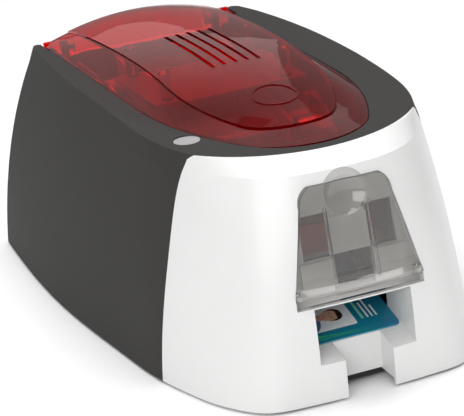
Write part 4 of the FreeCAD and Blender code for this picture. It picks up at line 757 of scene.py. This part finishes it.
def motorEnd(name, node, way):
    low, high = boxOf(node)
    radius = (high[2] - low[2]) / 2
    y = (high[1] + low[1]) / 2
    z = (high[2] + low[2]) / 2
    end = high[0] if way > 0 else low[0]
    rings = [(out, radius * share) for out, share in bell["rings"]]
    shape = lathe(rings, bell["sides"], (end, y, z), (way, 0, 0))
    smoothBy(piece(name + "_bell", shape, "case", "black"), bell["smooth"])
    reach = sorted((end + way * tags["from"], end + way * tags["to"]))
    level = z - radius * tags["below"]
    boxes = []
    for side in (-1, 1):
        middle = y + side * radius * tags["aside"]
        boxes.append((reach, (middle - tags["half"], middle + tags["half"]),
                      (level - tags["halfThick"], level + tags["halfThick"])))
    bevelled(piece(name + "_tags", boxMesh(boxes), "case", "brass"), tags["edge"])


for name, (node, way) in motors.items():
    motorEnd(name, node, way)
print("motors finished")


# Gears: a raised rim and hub with ribs between them on the outer face
gears = {"drive": ("drive_gear", -1), "entry": ("entry_gear", -1), "pick": ("pick_gear", -1),
         "platen": ("platen_gear", -1), "feed_idler": ("feed_idler", -1),
         "reduction": ("reduction_gear", -1), "takeup": ("takeup_gear", 1)}
web = {"rise": 0.45, "sunk": 0.2, "edge": 0.1, "rimShares": (0.70, 0.76), "hub": 4.6,
       "hubWall": 0.9, "ribs": 6, "ribWide": 0.8, "sides": 64, "smooth": 30}


def gearWeb(body, node, way):
    low, high = boxOf(node)
    centre = (high[0] if way > 0 else low[0], (low[1] + high[1]) / 2, (low[2] + high[2]) / 2)
    radius = (high[2] - low[2]) / 2
    rise, sunk, edge = web["rise"], web["sunk"], web["edge"]
    inner, outer = [share * radius for share in web["rimShares"]]
    hub = web["hub"] + web["hubWall"]
    rings = []
    for small, large in ((inner, outer), (web["hub"], hub)):
        outline = [(-sunk, small), (rise - edge, small), (rise, small + edge),
                   (rise, large - edge), (rise - edge, large), (-sunk, large)]
        rings.append(ringMesh(outline, web["sides"], centre, (way, 0, 0)))
    smoothBy(piece(body + "_rims", joined(rings), body, "gear"), web["smooth"])
    half = web["ribWide"] / 2
    depth = sorted((-way * sunk, way * (rise - edge)))
    rib = sourceObject(boxMesh([(depth, (hub - edge, inner + edge), (-half, half))]))
    turns = [(2 * math.pi * count / web["ribs"], 0, 0) for count in range(web["ribs"])]
    setOnPoints(body + "_ribs", rib, [centre] * web["ribs"], turns, body, "gear")


for body, (node, way) in gears.items():
    gearWeb(body, node, way)
print("gear webs added")


# Pinch springs: flat coils outside the side plates, each with a leg to the plate edge
springs = {"axes": ("entry_pinch", "cleaning_roller", "drive_pinch"), "from": 53.75,
           "turns": 3, "steps": 24, "radius": 4.2, "pitch": 0.5, "wire": 0.22, "wireSides": 8,
           "leg": 7.0, "legShares": (0.3, 0.6, 1.0)}


def springCoil():
    radius, steps = springs["radius"], springs["steps"]
    path = []
    for step in range(steps * springs["turns"] + 1):
        angle = 2 * math.pi * step / steps
        path.append((springs["pitch"] * step / steps, radius * math.sin(angle),
                     radius * math.cos(angle)))
    x, y, z = path[-1]
    path += [(x, y + springs["leg"] * share, z) for share in springs["legShares"]]
    return tubeMesh(path, springs["wire"], springs["wireSides"])


def pinchSprings():
    places = []
    turns = []
    for node in springs["axes"]:
        low, high = boxOf(node)
        y = (low[1] + high[1]) / 2
        z = (low[2] + high[2]) / 2
        places += [(springs["from"], y, z), (-springs["from"], y, z)]
        turns += [(0, 0, 0), (0, 0, math.pi)]
    coil = sourceObject(springCoil())
    coil.data.shade_smooth()
    setOnPoints("pinch_springs", coil, places, turns, "case", "zinc")


pinchSprings()
print("springs set")


# Floor, world and softboxes
studio = {"floor": (0.93, 0.93, 0.93), "floorHalf": 6.0, "floorRough": 0.6,
          "world": (1.0, 1.0, 1.0), "worldPower": 0.30}
softboxes = {
    "topBox": {"place": (0.1, 0.1, 1.9), "aim": (0, 0, 0.05), "size": (1.9, 1.9),
               "power": 40},
    "frontBox": {"place": (-1.1, -1.7, 1.0), "aim": (0, 0, 0.05), "size": (1.6, 1.2),
                 "power": 21},
    "backPanel": {"place": (-0.1, 2.2, 1.4), "aim": (0, 0, 0.14), "size": (2.8, 1.6),
                  "power": 4.5},
}


def studioFloor():
    half = studio["floorHalf"]
    corners = [(-half, -half, 0), (half, -half, 0), (half, half, 0), (-half, half, 0)]
    mesh = newMesh("floor", (corners, [(0, 1, 2, 3)]))
    material, tree, shader = newMaterial("floor")
    shader.inputs["Base Color"].default_value = (*studio["floor"], 1)
    shader.inputs["Roughness"].default_value = studio["floorRough"]
    mesh.materials.append(material)
    floor = added("floor", mesh)


def studioWorld():
    world = bpy.data.worlds.new("studio")
    bpy.context.scene.world = world
    world.use_nodes = True
    background = world.node_tree.nodes["Background"]
    background.inputs["Color"].default_value = (*studio["world"], 1)
    background.inputs["Strength"].default_value = studio["worldPower"]


def softbox(name, box):
    data = bpy.data.lights.new(name, "AREA")
    data.shape = "RECTANGLE"
    data.size, data.size_y = box["size"]
    data.energy = box["power"]
    lamp = added(name, data)
    lamp.location = box["place"]
    aim = Vector(box["aim"]) - Vector(box["place"])
    lamp.rotation_euler = aim.to_track_quat("-Z", "Y").to_euler()


bpy.context.scene.view_settings.view_transform = "Standard"
studioFloor()
studioWorld()
for name, box in softboxes.items():
    softbox(name, box)
print("studio lit")
